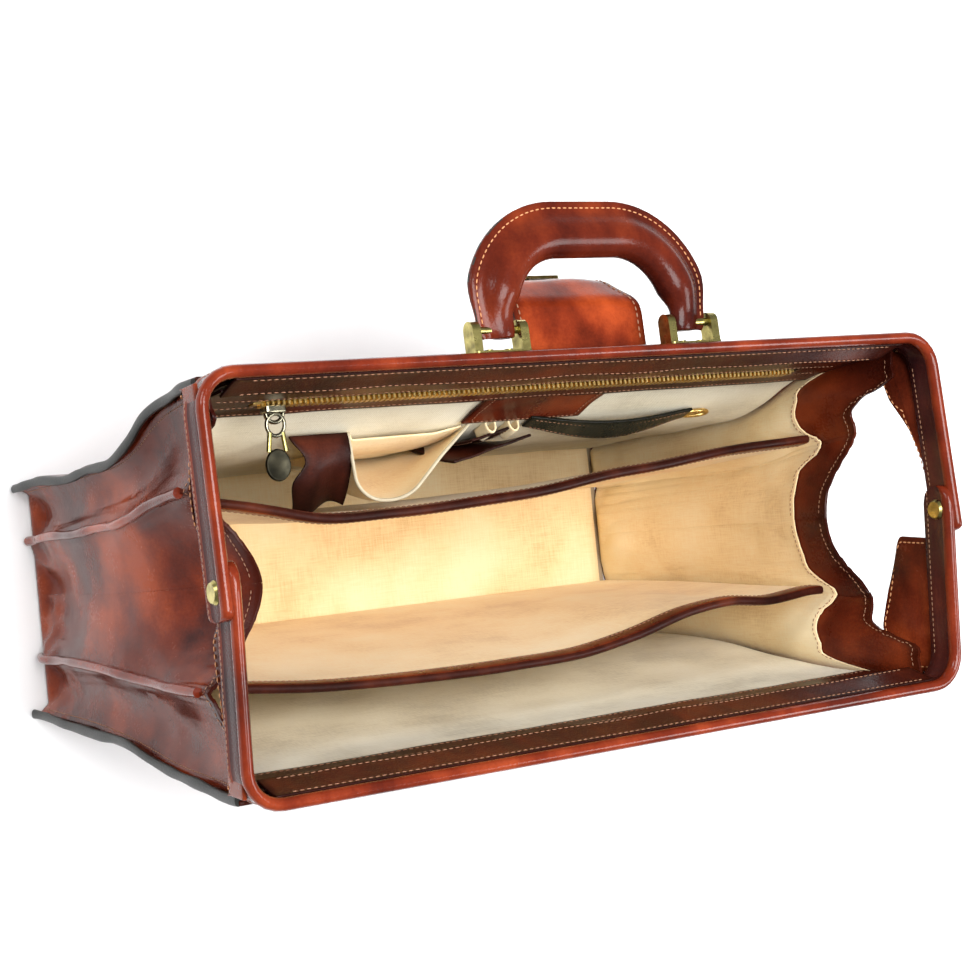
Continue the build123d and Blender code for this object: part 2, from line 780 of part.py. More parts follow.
# ---------------------------------------------------------------- how far things move
# Closed, the inner top edge of each rail stops just short of the plane y = 0.
inner_reach = leg_reach - cover_thickness
corner_reach = hypot(inner_reach, strip_width / 2)
closed_angle = acos(closing_gap / corner_reach) - atan2(strip_width / 2, inner_reach)
edge_closed_y = leg_reach * cos(closed_angle) + strip_width / 2 * sin(closed_angle)
edge_closed_z = leg_reach * sin(closed_angle) - strip_width / 2 * cos(closed_angle)
wall_closed_rise = sqrt(wall_run**2 - (base_half_depth - edge_closed_y) ** 2)
closed_rivet_z = base_seam_z + wall_closed_rise - edge_closed_z
wall_swing = wall_tilt + atan2(base_half_depth - edge_closed_y, wall_closed_rise)
divider_top_y = divider_foot_y + divider_height * sin(ridge_tilt)
divider_swing = atan2(divider_top_y - divider_closed_y, divider_height)

parts = {
    "base_leather": base_leather,
    "base_board": base_board,
    "base_lining": base_lining,
    "left_gusset": left_gusset,
    "right_gusset": right_gusset,
    "left_gusset_lining": left_gusset_lining,
    "right_gusset_lining": right_gusset_lining,
    **wall_layers,
    "front_facing": front_facing,
    "lock_case": lock_case,
    "zip_facing": zip_facing,
    "zip_tape": zip_tape,
    "zip_teeth": zip_teeth,
    "zip_stops": zip_stops,
    "zip_slider": zip_slider,
    "zip_pull": zip_pull,
    "phone_pocket": phone_pocket,
    "pocket_flap": pocket_flap,
    "card_pocket": card_pocket,
    "leather_patch": leather_patch,
    "pen_loops": pen_loops,
    "key_strap": key_strap,
    "key_hook": key_hook,
    "back_divider_sheet": back_divider_sheet,
    "front_divider_sheet": front_divider_sheet,
    "back_divider_binding": back_divider_binding,
    "front_divider_binding": front_divider_binding,
    "frame_rivets": frame_rivets,
    "back_frame_bar": back_frame_bar,
    "back_frame_cover": back_frame_cover,
    "back_leg_tabs": back_leg_tabs,
    "front_frame_bar": front_frame_bar,
    "front_frame_cover": front_frame_cover,
    "front_leg_tabs": front_leg_tabs,
    "handle_core": handle_core,
    "handle_cover": handle_cover,
    "handle_brackets": handle_brackets,
    "handle_pins": handle_pins,
    "bracket_screws": bracket_screws,
    "flap_leather": flap_leather,
    "flap_hasp": flap_hasp,
    "hasp_rivets": hasp_rivets,
}
os.makedirs("parts", exist_ok=True)
for name, piece in parts.items():
    piece.part.label = name
    export_step(piece.part, f"parts/{name}.step")

print(f"rivet axis z {rivet_z:.3f}, closed {closed_rivet_z:.3f}, drop {rivet_z - closed_rivet_z:.3f}")
print(f"hoop travel {degrees(closed_angle) + frame_droop:.3f} degrees")
print(f"panel swing {degrees(wall_swing):.3f} degrees about z {base_seam_z}, y +-{base_half_depth}")
print(f"divider swing {degrees(divider_swing):.3f} degrees about z {divider_foot_z:.3f}, y +-{divider_foot_y}")
handle_pivot = rail_centre + outward * pin_height
flap_pivot = rail_centre + outward * flap_gap - facing_up * (flap_below + flap_thickness / 2)
print("handle pivot", handle_pivot, "flap pivot", flap_pivot, "pull pivot", pull_pivot)
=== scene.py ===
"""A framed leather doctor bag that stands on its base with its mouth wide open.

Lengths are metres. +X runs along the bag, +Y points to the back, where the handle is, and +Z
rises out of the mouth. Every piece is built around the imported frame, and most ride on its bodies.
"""

from __future__ import annotations

import logging
import math
from dataclasses import dataclass
from enum import Enum
from typing import Any, Callable, Sequence

import bpy
import numpy as np
from mathutils import Matrix, Vector

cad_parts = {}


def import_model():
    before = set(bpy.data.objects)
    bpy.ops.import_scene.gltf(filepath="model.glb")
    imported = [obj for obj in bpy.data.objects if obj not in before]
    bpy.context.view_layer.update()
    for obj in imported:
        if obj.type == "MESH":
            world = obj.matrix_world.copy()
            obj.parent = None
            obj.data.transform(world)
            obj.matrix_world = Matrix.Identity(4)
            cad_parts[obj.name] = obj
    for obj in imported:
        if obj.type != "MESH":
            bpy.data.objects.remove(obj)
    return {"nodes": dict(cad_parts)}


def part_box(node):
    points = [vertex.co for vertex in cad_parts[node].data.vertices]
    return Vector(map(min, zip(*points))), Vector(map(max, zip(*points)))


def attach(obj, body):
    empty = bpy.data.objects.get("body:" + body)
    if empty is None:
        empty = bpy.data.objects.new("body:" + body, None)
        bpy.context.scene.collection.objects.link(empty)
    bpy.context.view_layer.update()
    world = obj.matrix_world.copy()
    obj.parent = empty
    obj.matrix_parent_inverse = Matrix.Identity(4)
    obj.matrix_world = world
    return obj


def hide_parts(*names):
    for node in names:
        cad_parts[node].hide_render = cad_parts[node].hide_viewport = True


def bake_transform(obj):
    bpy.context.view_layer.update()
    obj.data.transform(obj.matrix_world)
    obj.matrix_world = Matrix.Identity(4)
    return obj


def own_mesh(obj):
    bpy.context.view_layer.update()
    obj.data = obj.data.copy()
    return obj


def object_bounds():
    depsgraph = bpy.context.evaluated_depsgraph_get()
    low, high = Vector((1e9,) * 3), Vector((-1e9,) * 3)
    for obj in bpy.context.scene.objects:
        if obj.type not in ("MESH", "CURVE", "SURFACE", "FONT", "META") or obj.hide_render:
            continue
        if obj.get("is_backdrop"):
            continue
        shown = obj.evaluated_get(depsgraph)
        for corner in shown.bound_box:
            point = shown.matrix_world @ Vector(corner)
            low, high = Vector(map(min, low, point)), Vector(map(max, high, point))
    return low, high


LOG = logging.getLogger("doctor_bag")
Array = np.ndarray
Colour = tuple[float, float, float]
Place = Callable[[Array, Array], Array]
MM = 0.001
TINY = 1e-6


class Side(Enum):
    """The two sides of the bag, as the sign of their place along Y."""

    BACK = 1
    FRONT = -1


class End(Enum):
    """The two ends of the bag, as the sign of their place along X."""

    LEFT = -1
    RIGHT = 1


# ---- shader maths
class Link:
    """A node's socket that can be added, multiplied and so on."""

    def __init__(self, graph: Graph, socket: Any) -> None:
        """Keeps the socket and the graph that it belongs to."""
        self.graph, self.socket = graph, socket

    def _join(self, operation: str, *values: Any) -> Link:
        """One Math node on the values given."""
        return self.graph.node("ShaderNodeMath", {"operation": operation}, dict(enumerate(values)))

    def __add__(self, other: Any) -> Link:
        """Sum."""
        return self._join("ADD", self, other)

    def __radd__(self, other: Any) -> Link:
        """Sum with a number on the left."""
        return self._join("ADD", other, self)

    def __sub__(self, other: Any) -> Link:
        """Difference."""
        return self._join("SUBTRACT", self, other)

    def __rsub__(self, other: Any) -> Link:
        """Difference from a number on the left."""
        return self._join("SUBTRACT", other, self)

    def __mul__(self, other: Any) -> Link:
        """Product."""
        return self._join("MULTIPLY", self, other)

    def __rmul__(self, other: Any) -> Link:
        """Product with a number on the left."""
        return self._join("MULTIPLY", other, self)

    def sine(self) -> Link:
        """Sine of the value."""
        return self._join("SINE", self)

    def size(self) -> Link:
        """The value without its sign."""
        return self._join("ABSOLUTE", self)

    def power(self, exponent: float) -> Link:
        """The value raised to a power."""
        return self._join("POWER", self, exponent)

    def held(self) -> Link:
        """The value held between 0 and 1."""
        low = self._join("MAXIMUM", self, 0.0)
        return low._join("MINIMUM", low, 1.0)


class Graph:
    """The node graph of one material."""

    def __init__(self, name: str) -> None:
        """Starts a material with one Principled shader.

        Args:
            name: the material's name.
        """
        self.material = bpy.data.materials.new(name)
        self.material.use_nodes = True
        self.tree = self.material.node_tree
        self.shader = self.tree.nodes["Principled BSDF"]

    def node(self, kind: str, settings: dict | None = None, inputs: dict | None = None, output: Any = 0) -> Link:
        """Adds a node.

        Args:
            kind: the node's type.
            settings: its properties; "stops" are the stops of a colour ramp.
            inputs: values or links of its sockets, by name or number.
            output: the socket to hand back, by name or number.

        Returns:
            The chosen output.
        """
        made = self.tree.nodes.new(kind)
        for key, value in (settings or {}).items():
            if key == "stops":
                self._set_stops(made.color_ramp, value)
            else:
                setattr(made, key, value)
        for key, value in (inputs or {}).items():
            if isinstance(value, Link):
                self.tree.links.new(value.socket, made.inputs[key])
            else:
                made.inputs[key].default_value = value
        return Link(self, made.outputs[output])

    @staticmethod
    def _set_stops(ramp: Any, stops: Sequence[tuple[float, Colour]]) -> None:
        """Gives a colour ramp its stops.

        Args:
            ramp: the ramp.
            stops: its places and colours.
        """
        while len(ramp.elements) < len(stops):
            ramp.elements.new(0.5)
        for element, (place, colour) in zip(ramp.elements, stops):
            element.position = place
            element.color = (*colour, 1.0)

    def place(self) -> Link:
        """Object coordinates, in metres."""
        return self.node("ShaderNodeTexCoord", output="Object")

    def noise(self, where: Link, size: float, detail: float = 4.0, stretch: Colour = (1, 1, 1)) -> Link:
        """Cloudy noise.

        Args:
            where: the coordinates.
            size: about how far across its clouds are, in metres.
            detail: how many finer layers it has.
            stretch: how many times finer it is along each axis.

        Returns:
            A value about 0.5, from 0 to 1.
        """
        turned = self.node(
            "ShaderNodeVectorMath", {"operation": "MULTIPLY"}, {0: where, 1: tuple(s / size for s in stretch)}
        )
        return self.node("ShaderNodeTexNoise", {}, {"Vector": turned, "Scale": 1.0, "Detail": detail}, "Fac")

    def cells(self, where: Link, size: float) -> Link:
        """Distance inside small cells, for the grain of leather."""
        turned = self.node("ShaderNodeVectorMath", {"operation": "SCALE"}, {0: where, "Scale": 1.0 / size})
        return self.node("ShaderNodeTexVoronoi", {"feature": "F1"}, {"Vector": turned, "Scale": 1.0}, "Distance")

    def ramp(self, value: Link, stops: Sequence[tuple[float, Colour]]) -> Link:
        """A colour for a value."""
        return self.node("ShaderNodeValToRGB", {"stops": stops}, {"Fac": value}, "Color")

    def mix(self, share: Any, first: Any, second: Any) -> Link:
        """A colour between two."""
        first, second = (c if isinstance(c, Link) else (*c, 1.0) for c in (first, second))
        return self.node("ShaderNodeMix", {"data_type": "RGBA"}, {0: share, 6: first, 7: second}, 2)

    def rim_wear_and_shade(self) -> Link:
        """How near a rim the surface is, from the mesh's own attribute: leather darkens there as burnished wear, canvas
        as painted shade.
        """
        return self.node("ShaderNodeAttribute", {"attribute_name": "rim"}, output="Fac")

    def bump(self, height: Link, distance: float, strength: float = 1.0) -> None:
        """Raises the surface by a height."""
        inputs = {"Height": height, "Distance": distance, "Strength": strength}
        self.feed("Normal", self.node("ShaderNodeBump", {}, inputs, "Normal"))

    def feed(self, socket: str, value: Link) -> None:
        """Links a value to the shader."""
        self.tree.links.new(value.socket, self.shader.inputs[socket])

    def hold(self, **values: float) -> None:
        """Sets sockets of the shader that stay the same all over."""
        for name, value in values.items():
            self.shader.inputs[name.replace("_", " ")].default_value = value


# ---- finishes
@dataclass(frozen=True)
class Leather:
    """Glazed hide, stained by hand so that its colour is cloudy, with darker burnished rims."""

    name: str
    deep: Colour
    body: Colour
    light: Colour
    roughness: float = 0.24
    cloud: float = 0.055
    grain: float = 0.00012
    coat: float = 0.03

    def make(self) -> Any:
        """Builds the material.

        Returns:
            The material.
        """
        graph = Graph(self.name)
        where = graph.place()
        clouds = graph.noise(where, self.cloud, 3.0)
        streaks = graph.noise(where, 0.011, 5.0, (1.0, 0.45, 0.45))
        specks = graph.noise(where, 0.0016, 2.0)
        stain = clouds * 0.66 + streaks * 0.26 + specks * 0.08
        stops = ((0.36, self.deep), (0.5, self.body), (0.64, self.light))
        colour = graph.ramp(stain, stops)
        colour = graph.mix((graph.rim_wear_and_shade() * 0.75).held(), colour, tuple(0.45 * c for c in self.deep))
        graph.feed("Base Color", colour)
        graph.feed("Roughness", self.roughness + (streaks - 0.5) * 0.22 + (specks - 0.5) * 0.08)
        pores = graph.cells(where, 0.0011)
        wrinkles = graph.noise(where, 0.006, 3.0)
        graph.bump(pores * 0.3 + wrinkles * 0.3 + specks * 0.1, 5 * self.grain, 0.4)
        graph.hold(Coat_Weight=self.coat, Coat_Roughness=0.12, IOR=1.5, Specular_IOR_Level=0.1)
        return graph.material


@dataclass(frozen=True)
class Canvas:
    """Plain-woven cotton with slubs, lying along two of the bag's axes."""

    name: str
    shade: Colour
    body: Colour
    light: Colour
    threads: tuple[int, int]
    pitch: float = 0.0011

    def make(self) -> Any:
        """Builds the material.

        Returns:
            The material.
        """
        graph = Graph(self.name)
        where = graph.place()
        axes = [graph.node("ShaderNodeSeparateXYZ", {}, {0: where}, axis) for axis in self.threads]
        turn = 2 * math.pi / self.pitch
        over = (axes[0] * turn).sine() * (axes[1] * turn).sine()
        slubs = []
        for axis in self.threads:
            stretch = [600.0 / 90.0] * 3
            stretch[axis] = 0.35
            slubs.append(graph.noise(where, 0.0045, 3.0, tuple(stretch)))
        clouds = graph.noise(where, 0.06, 3.0)
        tone = slubs[0] * 0.2 + slubs[1] * 0.2 + clouds * 0.55 + over * 0.035
        colour = graph.ramp(tone, ((0.34, self.shade), (0.46, self.body), (0.58, self.light)))
        # The canvas is mixed to its darkest tone near its rims: painted shade in the corners and seams where it meets
        # the walls, floor and leather.
        graph.feed("Base Color", graph.mix((graph.rim_wear_and_shade() * 0.5).held(), colour, self.shade))
        graph.feed("Roughness", 0.86 + (slubs[0] - 0.5) * 0.2)
        graph.bump(over * 0.5 + slubs[0] * 1.4 + slubs[1] * 1.4, 0.00022, 0.5)
        graph.hold(Sheen_Weight=0.2, Sheen_Roughness=0.5)
        return graph.material


@dataclass(frozen=True)
class Metal:
    """Cast or plated metal with a tarnish that gathers in clouds."""

    name: str
    bright: Colour
    tarnish: Colour
    roughness: float = 0.3
    cloud: float = 0.006

    def make(self) -> Any:
        """Builds the material.

        Returns:
            The material.
        """
        graph = Graph(self.name)
        where = graph.place()
        clouds = graph.noise(where, self.cloud, 5.0)
        scratches = graph.noise(where, 0.0012, 3.0, (0.3, 1.0, 2.0))
        graph.feed("Base Color", graph.mix(((clouds - 0.35) * 2.6).held(), self.bright, self.tarnish))
        graph.feed("Roughness", self.roughness + (clouds - 0.5) * 0.35 + (scratches - 0.5) * 0.12)
        graph.bump(scratches * 0.6 + clouds, 0.00006, 0.5)
        graph.hold(Metallic=1.0)
        return graph.material


@dataclass(frozen=True)
class Plain:
    """Thread, painted edge, tape or board: one colour with fine unevenness."""

    name: str
    dark: Colour
    light: Colour
    roughness: float
    speck: float = 0.0012
    height: float = 0.00008

    def make(self) -> Any:
        """Builds the material.

        Returns:
            The material.
        """
        graph = Graph(self.name)
        where = graph.place()
        fine = graph.noise(where, self.speck, 3.0)
        broad = graph.noise(where, 12 * self.speck, 3.0)
        graph.feed("Base Color", graph.mix((fine * 0.6 + broad * 0.7 - 0.15).held(), self.dark, self.light))
        graph.feed("Roughness", self.roughness + (fine - 0.5) * 0.2)
        graph.bump(fine + broad * 0.6, self.height, 0.6)
        graph.hold(Specular_IOR_Level=0.2)
        return graph.material


class Finishes:
    """All the bag's materials, each made once."""

    def __init__(self) -> None:
        """Builds every material."""
        self.hide = Leather("chestnut_hide", (0.030, 0.0045, 0.003), (0.125, 0.018, 0.006), (0.29, 0.049, 0.013)).make()
        # Dark brown leather for the hoop's band, with a purple-brown cast painted in as reflection of the floor and
        # sky.
        self.rail = Leather(
            "frame_hide", (0.028, 0.007, 0.008), (0.06, 0.014, 0.012), (0.11, 0.024, 0.016), roughness=0.2
        ).make()
        self.bead = Leather(
            "bead_hide", (0.06, 0.008, 0.004), (0.155, 0.019, 0.006), (0.29, 0.046, 0.014), roughness=0.16, coat=0.3
        ).make()
        self.inside_hide = Leather(
            "inside_hide", (0.032, 0.005, 0.003), (0.10, 0.014, 0.005), (0.22, 0.036, 0.010), roughness=0.3
        ).make()
        self.dark_hide = Leather(
            "dark_hide", (0.012, 0.003, 0.002), (0.034, 0.007, 0.004), (0.085, 0.018, 0.008), roughness=0.36, coat=0.0
        ).make()
        self.strap_hide = Leather(
            "strap_hide", (0.006, 0.007, 0.005), (0.018, 0.017, 0.011), (0.05, 0.04, 0.022), roughness=0.28
        ).make()
        self.facing_hide = Leather(
            "facing_hide", (0.018, 0.004, 0.003), (0.05, 0.009, 0.005), (0.11, 0.019, 0.007), roughness=0.34, coat=0.0
        ).make()
        self.flap_hide = Leather(
            "flap_hide", (0.055, 0.007, 0.003), (0.17, 0.021, 0.006), (0.36, 0.055, 0.013), roughness=0.2,
            coat=0.15, cloud=0.04
        ).make()
        self.handle_hide = Leather(
            "handle_hide", (0.032, 0.0045, 0.003), (0.095, 0.0125, 0.005), (0.18, 0.027, 0.008),
            roughness=0.22, coat=0.12
        ).make()
        pale = ((0.55, 0.48, 0.32), (0.77, 0.70, 0.51), (0.86, 0.80, 0.62))
        gold = ((0.73, 0.50, 0.24), (0.91, 0.70, 0.39), (0.95, 0.80, 0.52))
        self.wall_canvas = Canvas("wall_canvas", *pale, threads=(0, 2)).make()
        self.floor_canvas = Canvas("floor_canvas", *gold, threads=(0, 1)).make()
        self.end_canvas = Canvas("end_canvas", *gold, threads=(1, 2)).make()
        self.sheet_canvas = Canvas("sheet_canvas", *gold, threads=(0, 2)).make()
        self.tape = Plain("zip_tape_weave", (0.018, 0.009, 0.006), (0.05, 0.025, 0.015), 0.8).make()
        self.paint = Plain("painted_edge", (0.007, 0.009, 0.009), (0.035, 0.036, 0.031), 0.42, height=0.0002).make()
        self.thread = Plain("tan_thread", (0.42, 0.16, 0.06), (0.72, 0.36, 0.17), 0.6, speck=0.0005).make()
        self.dull_thread = Plain("brown_thread", (0.22, 0.10, 0.06), (0.42, 0.22, 0.13), 0.6, speck=0.0005).make()
        self.pale_edge = Plain("pale_cord", (0.40, 0.34, 0.23), (0.66, 0.59, 0.44), 0.7, speck=0.0006).make()
        self.board = Plain("pressed_board", (0.30, 0.22, 0.14), (0.46, 0.36, 0.24), 0.8).make()
        self.core = Plain("cord_core_twist", (0.40, 0.33, 0.22), (0.56, 0.48, 0.34), 0.85).make()
        self.brass = Metal("antique_brass", (0.50, 0.43, 0.15), (0.15, 0.125, 0.045)).make()
        self.teeth = Metal("zip_brass", (0.90, 0.64, 0.22), (0.44, 0.27, 0.09), roughness=0.32, cloud=0.003).make()
        self.nickel = Metal("slider_metal", (0.30, 0.28, 0.20), (0.08, 0.07, 0.045), roughness=0.26).make()
        self.black_metal = Metal("pull_metal", (0.03, 0.027, 0.018), (0.009, 0.009, 0.007), roughness=0.42).make()
        self.steel = Metal("spring_steel", (0.56, 0.56, 0.58), (0.36, 0.36, 0.38)).make()


# ---- curves and unevenness
def smooth_curve(knots: Sequence[tuple[float, float]], where: Array) -> Array:
    """A smooth curve through a few points.

    Args:
        knots: the points, in order.
        where: the places to read it at.

    Returns:
        The curve's height at each place; it is level past its ends.
    """
    places, heights = np.array(knots, float).T
    slopes = np.gradient(heights, places)
    i = np.clip(np.searchsorted(places, where, side="right") - 1, 0, len(places) - 2)
    step = places[i + 1] - places[i]
    s = np.clip((where - places[i]) / step, 0, 1)
    rise = (2 * s**3 - 3 * s**2 + 1) * heights[i] + (3 * s**2 - 2 * s**3) * heights[i + 1]
    return rise + step * ((s**3 - 2 * s**2 + s) * slopes[i] + (s**3 - s**2) * slopes[i + 1])


def smooth_step(low: float, high: float, where: Array) -> Array:
    """0 below low, 1 above high and a smooth rise between them.

    Args:
        low: where the rise starts.
        high: where it ends.
        where: the places to read it at.

    Returns:
        The share at each place.
    """
    s = np.clip((np.asarray(where, float) - low) / (high - low), 0, 1)
    return s * s * (3 - 2 * s)


def ripple(points: Array, size: float, seed: int) -> Array:
    """Smooth uneven waves.

    Args:
        points: places in space, one to a row.
        size: about how far apart the waves are, in metres.
        seed: chooses the pattern.

    Returns:
        A height for each place, from about -1 to 1.
    """
    random = np.random.default_rng(seed)
    total = np.zeros(len(points))
    waves = 7
    for _ in range(waves):
        direction = random.normal(size=3)
        direction *= random.uniform(0.6, 1.7) * 2 * math.pi / (size * np.linalg.norm(direction))
        total += np.sin(points @ direction + random.uniform(0, 2 * math.pi))
    return total / math.sqrt(2 * waves)


def rounded_line(corners: Sequence[tuple[float, float, float]], step: float) -> Array:
    """A line of straight runs and arcs.

    Args:
        corners: x, y and the radius there; the ends have a radius of 0.
        step: about how far apart the points are.

    Returns:
        Its points, one to a row.
    """
    spots = [np.array(c[:2], float) for c in corners]
    line = [spots[0]]

    def run_to(target: Array) -> None:
        """Adds evenly spaced points up to a target."""
        start, count = line[-1], max(1, round(float(np.linalg.norm(target - line[-1])) / step))
        line.extend(start + (target - start) * k / count for k in range(1, count + 1))

    for before, (here, corner), after in zip(spots, zip(spots[1:], corners[1:]), spots[2:]):
        into, out = (before - here), (after - here)
        into, out = into / np.linalg.norm(into), out / np.linalg.norm(out)
        half = math.acos(float(np.clip(into @ out, -1, 1))) / 2
        radius = corner[2]
        reach = radius / math.tan(half)
        centre = here + (into + out) / np.linalg.norm(into + out) * (radius / math.sin(half))
        first, last = here + into * reach - centre, here + out * reach - centre
        run_to(centre + first)
        turn = math.atan2(first[0] * last[1] - first[1] * last[0], float(first @ last))
        count = max(3, round(abs(turn) * radius / step))
        for k in range(1, count + 1):
            a = turn * k / count
            c, s = math.cos(a), math.sin(a)
            line.append(centre + np.array([first[0] * c - first[1] * s, first[0] * s + first[1] * c]))
    run_to(spots[-1])
    return np.array(line)


def run_along(points: Array) -> Array:
    """How far along a line each of its points is."""
    return np.concatenate([[0.0], np.cumsum(np.linalg.norm(np.diff(points, axis=0), axis=1))])


def directions(points: Array) -> Array:
    """The direction of a line at each of its points."""
    ways = np.gradient(points, axis=0)
    return ways / np.maximum(np.linalg.norm(ways, axis=1, keepdims=True), TINY)


def stack(*columns: Any) -> Array:
    """Columns side by side as rows of points."""
    return np.stack(np.broadcast_arrays(*columns), axis=-1).astype(float)


# ---- the bench
class Bench:
    """Adds primitives and works on them with Blender's own tools."""

    @staticmethod
    def clear() -> None:
        """Leaves edit mode and deselects everything."""
        if bpy.context.object and bpy.context.object.mode != "OBJECT":
            bpy.ops.object.mode_set(mode="OBJECT")
        bpy.ops.object.select_all(action="DESELECT")

    @staticmethod
    def pick(piece: Any) -> None:
        """Selects one piece alone and makes it active.

        Args:
            piece: the piece.
        """
        Bench.clear()
        piece.select_set(True)
        bpy.context.view_layer.objects.active = piece

    @staticmethod
    def named(name: str) -> Any:
        """Names the piece that was just added.

        Args:
            name: its name.

        Returns:
            The piece.
        """
        piece = bpy.context.object
        piece.name = piece.data.name = name
        return piece

    @staticmethod
    def edit(piece: Any, *work: Callable[[], Any]) -> None:
        """Runs operators on all of a piece in edit mode.

        Args:
            piece: the piece.
            *work: the operators, in order.
        """
        Bench.pick(piece)
        bpy.ops.object.mode_set(mode="EDIT")
        bpy.ops.mesh.select_all(action="SELECT")
        for step in work:
            step()
        bpy.ops.object.mode_set(mode="OBJECT")

    @staticmethod
    def grid(name: str, across: Array, along: Array, place: Place) -> Any:
        """A sheet of even squares laid out in space.

        Args:
            name: the piece's name.
            across: the first value of each column.
            along: the second value of each row.
            place: gives the point in space of each pair of values.

        Returns:
            The piece, with its two values kept as attributes.
        """
        Bench.clear()
        bpy.ops.mesh.primitive_grid_add(x_subdivisions=len(across) - 1, y_subdivisions=len(along) - 1, size=1.0)
        piece = Bench.named(name)
        mesh = piece.data
        if len(mesh.vertices) != len(across) * len(along):
            raise ValueError(f"{name}: the grid has {len(mesh.vertices)} points")
        flat = np.zeros(3 * len(mesh.vertices))
        mesh.vertices.foreach_get("co", flat)
        flat = flat.reshape(-1, 3) + 0.5
        column = np.rint(flat[:, 0] * (len(across) - 1)).astype(int)
        row = np.rint(flat[:, 1] * (len(along) - 1)).astype(int)
        first, second = np.asarray(across, float)[column], np.asarray(along, float)[row]
        mesh.vertices.foreach_set("co", place(first, second).astype(np.float32).ravel())
        for key, values in (("across", first), ("along", second)):
            mesh.attributes.new(key, "FLOAT", "POINT").data.foreach_set("value", values.astype(np.float32))
        mesh.update()
        return piece

    @staticmethod
    def read(piece: Any, key: str) -> Array:
        """One of a mesh's own values for each point.

        Args:
            piece: the piece.
            key: the attribute's name.

        Returns:
            The values.
        """
        values = np.zeros(len(piece.data.vertices), np.float32)
        piece.data.attributes[key].data.foreach_get("value", values)
        return values

    @staticmethod
    def mark_rim(piece: Any, values: Array) -> None:
        """Keeps how near a rim each point is."""
        rim = piece.data.attributes.new("rim", "FLOAT", "POINT")
        rim.data.foreach_set("value", np.clip(values, 0, 1).astype(np.float32))

    @staticmethod
    def fade(piece: Any, width: float) -> None:
        """Marks the rim of an open sheet, fading over a width.

        Args:
            piece: the sheet.
            width: how far in from its border the mark reaches.
        """
        mesh = piece.data
        co = np.zeros(3 * len(mesh.vertices))
        mesh.vertices.foreach_get("co", co)
        co = co.reshape(-1, 3)
        used = np.zeros(len(mesh.edges), int)
        index = {tuple(sorted(edge.vertices)): edge.index for edge in mesh.edges}
        for face in mesh.polygons:
            for key in face.edge_keys:
                used[index[key]] += 1
        lone = {v for edge in mesh.edges if used[edge.index] == 1 for v in edge.vertices}
        border = co[sorted(lone)]
        if not len(border):
            return
        nearest = np.array([np.min(np.sum((border - p) ** 2, axis=1)) for p in co])
        Bench.mark_rim(piece, 1 - np.sqrt(nearest) / width)

    @staticmethod
    def apply(piece: Any, kind: str, **settings: Any) -> None:
        """Adds a modifier and applies it.

        Args:
            piece: the piece.
            kind: the modifier's type.
            **settings: what it is set to.
        """
        Bench.pick(piece)
        modifier = piece.modifiers.new(kind.title(), kind)
        for key, value in settings.items():
            setattr(modifier, key, value)
        bpy.ops.object.modifier_apply(modifier=modifier.name)

    @staticmethod
    def thicken(
        piece: Any, thickness: float, grow: Sequence[float] | None = None, inner: int = 0, rim: int = 0,
        round_off: float = 0.3,
    ) -> None:
        """Gives a sheet its thickness and rounds its rim.

        Args:
            piece: the sheet.
            thickness: how thick it gets.
            grow: the way that it grows, or None for half to each side.
            inner: the material slot of the face that it grows to.
            rim: how many material slots further on the rim's material is.
            round_off: the rim's rounding as a share of the thickness.
        """
        offset, way = 0.0, np.array(grow if grow is not None else (0, 0, 0), float)
        if grow is not None:
            offset = 1.0 if float((Bench.normals(piece) @ way).sum()) > 0 else -1.0
        Bench.apply(piece, "SOLIDIFY", thickness=thickness, offset=offset, material_offset_rim=rim)
        if inner:
            facing = (Bench.normals(piece) @ way) > 0
            for face in piece.data.polygons:
                if face.material_index == 0 and facing[face.index]:
                    face.material_index = inner
        if round_off:
            Bench.apply(
                piece, "BEVEL", width=round_off * thickness, segments=2, limit_method="ANGLE", angle_limit=1.0
            )
        Bench.smooth(piece)

    @staticmethod
    def normals(piece: Any) -> Array:
        """The way out of each face, times its area.

        Args:
            piece: the piece.

        Returns:
            One vector to a face.
        """
        mesh = piece.data
        out, size = np.zeros(3 * len(mesh.polygons)), np.zeros(len(mesh.polygons))
        mesh.polygons.foreach_get("normal", out)
        mesh.polygons.foreach_get("area", size)
        return out.reshape(-1, 3) * size[:, None]

    @staticmethod
    def smooth(piece: Any, angle: float = 50.0) -> None:
        """Shades a piece smooth, with sharp corners kept.

        Args:
            piece: the piece.
            angle: the sharpest bend, in degrees, that is smoothed.
        """
        Bench.pick(piece)
        bpy.ops.object.shade_smooth_by_angle(angle=math.radians(angle))

    @staticmethod
    def close(piece: Any) -> None:
        """Merges doubles, fills the open ends and turns the faces outwards.

        Args:
            piece: the piece.
        """
        Bench.edit(
            piece,
            lambda: bpy.ops.mesh.remove_doubles(threshold=1e-6),
            lambda: bpy.ops.mesh.fill_holes(sides=0),
            lambda: bpy.ops.mesh.normals_make_consistent(inside=False),
        )

    @staticmethod
    def sweep(name: str, line: Array, out: Array, up: Array, profile: Array, size: Array | None = None) -> Any:
        """A closed profile carried along a line.

        Args:
            name: the piece's name.
            line: the line's points.
            out: where the profile's first axis points, at each point of the line.
            up: where its second axis points.
            profile: the profile's points, once round.
            size: two factors for each point of the line, one for each axis of the profile.

        Returns:
            The closed piece; its "across" attribute is the place in the profile.
        """
        ring = np.vstack([profile, profile[:1]])
        size = np.ones((len(line), 2)) if size is None else size

        def place(a: Array, b: Array) -> Array:
            """A point of the swept skin.

            Args:
                a: columns.
                b: rows.

            Returns:
                Points, one to a row.
            """
            i, j = a.astype(int), b.astype(int)
            first, second = ring[i, 0] * size[j, 0], ring[i, 1] * size[j, 1]
            return line[j] + out[j] * first[:, None] + up[j] * second[:, None]

        piece = Bench.grid(name, np.arange(len(ring)), np.arange(len(line)), place)
        Bench.close(piece)
        return piece

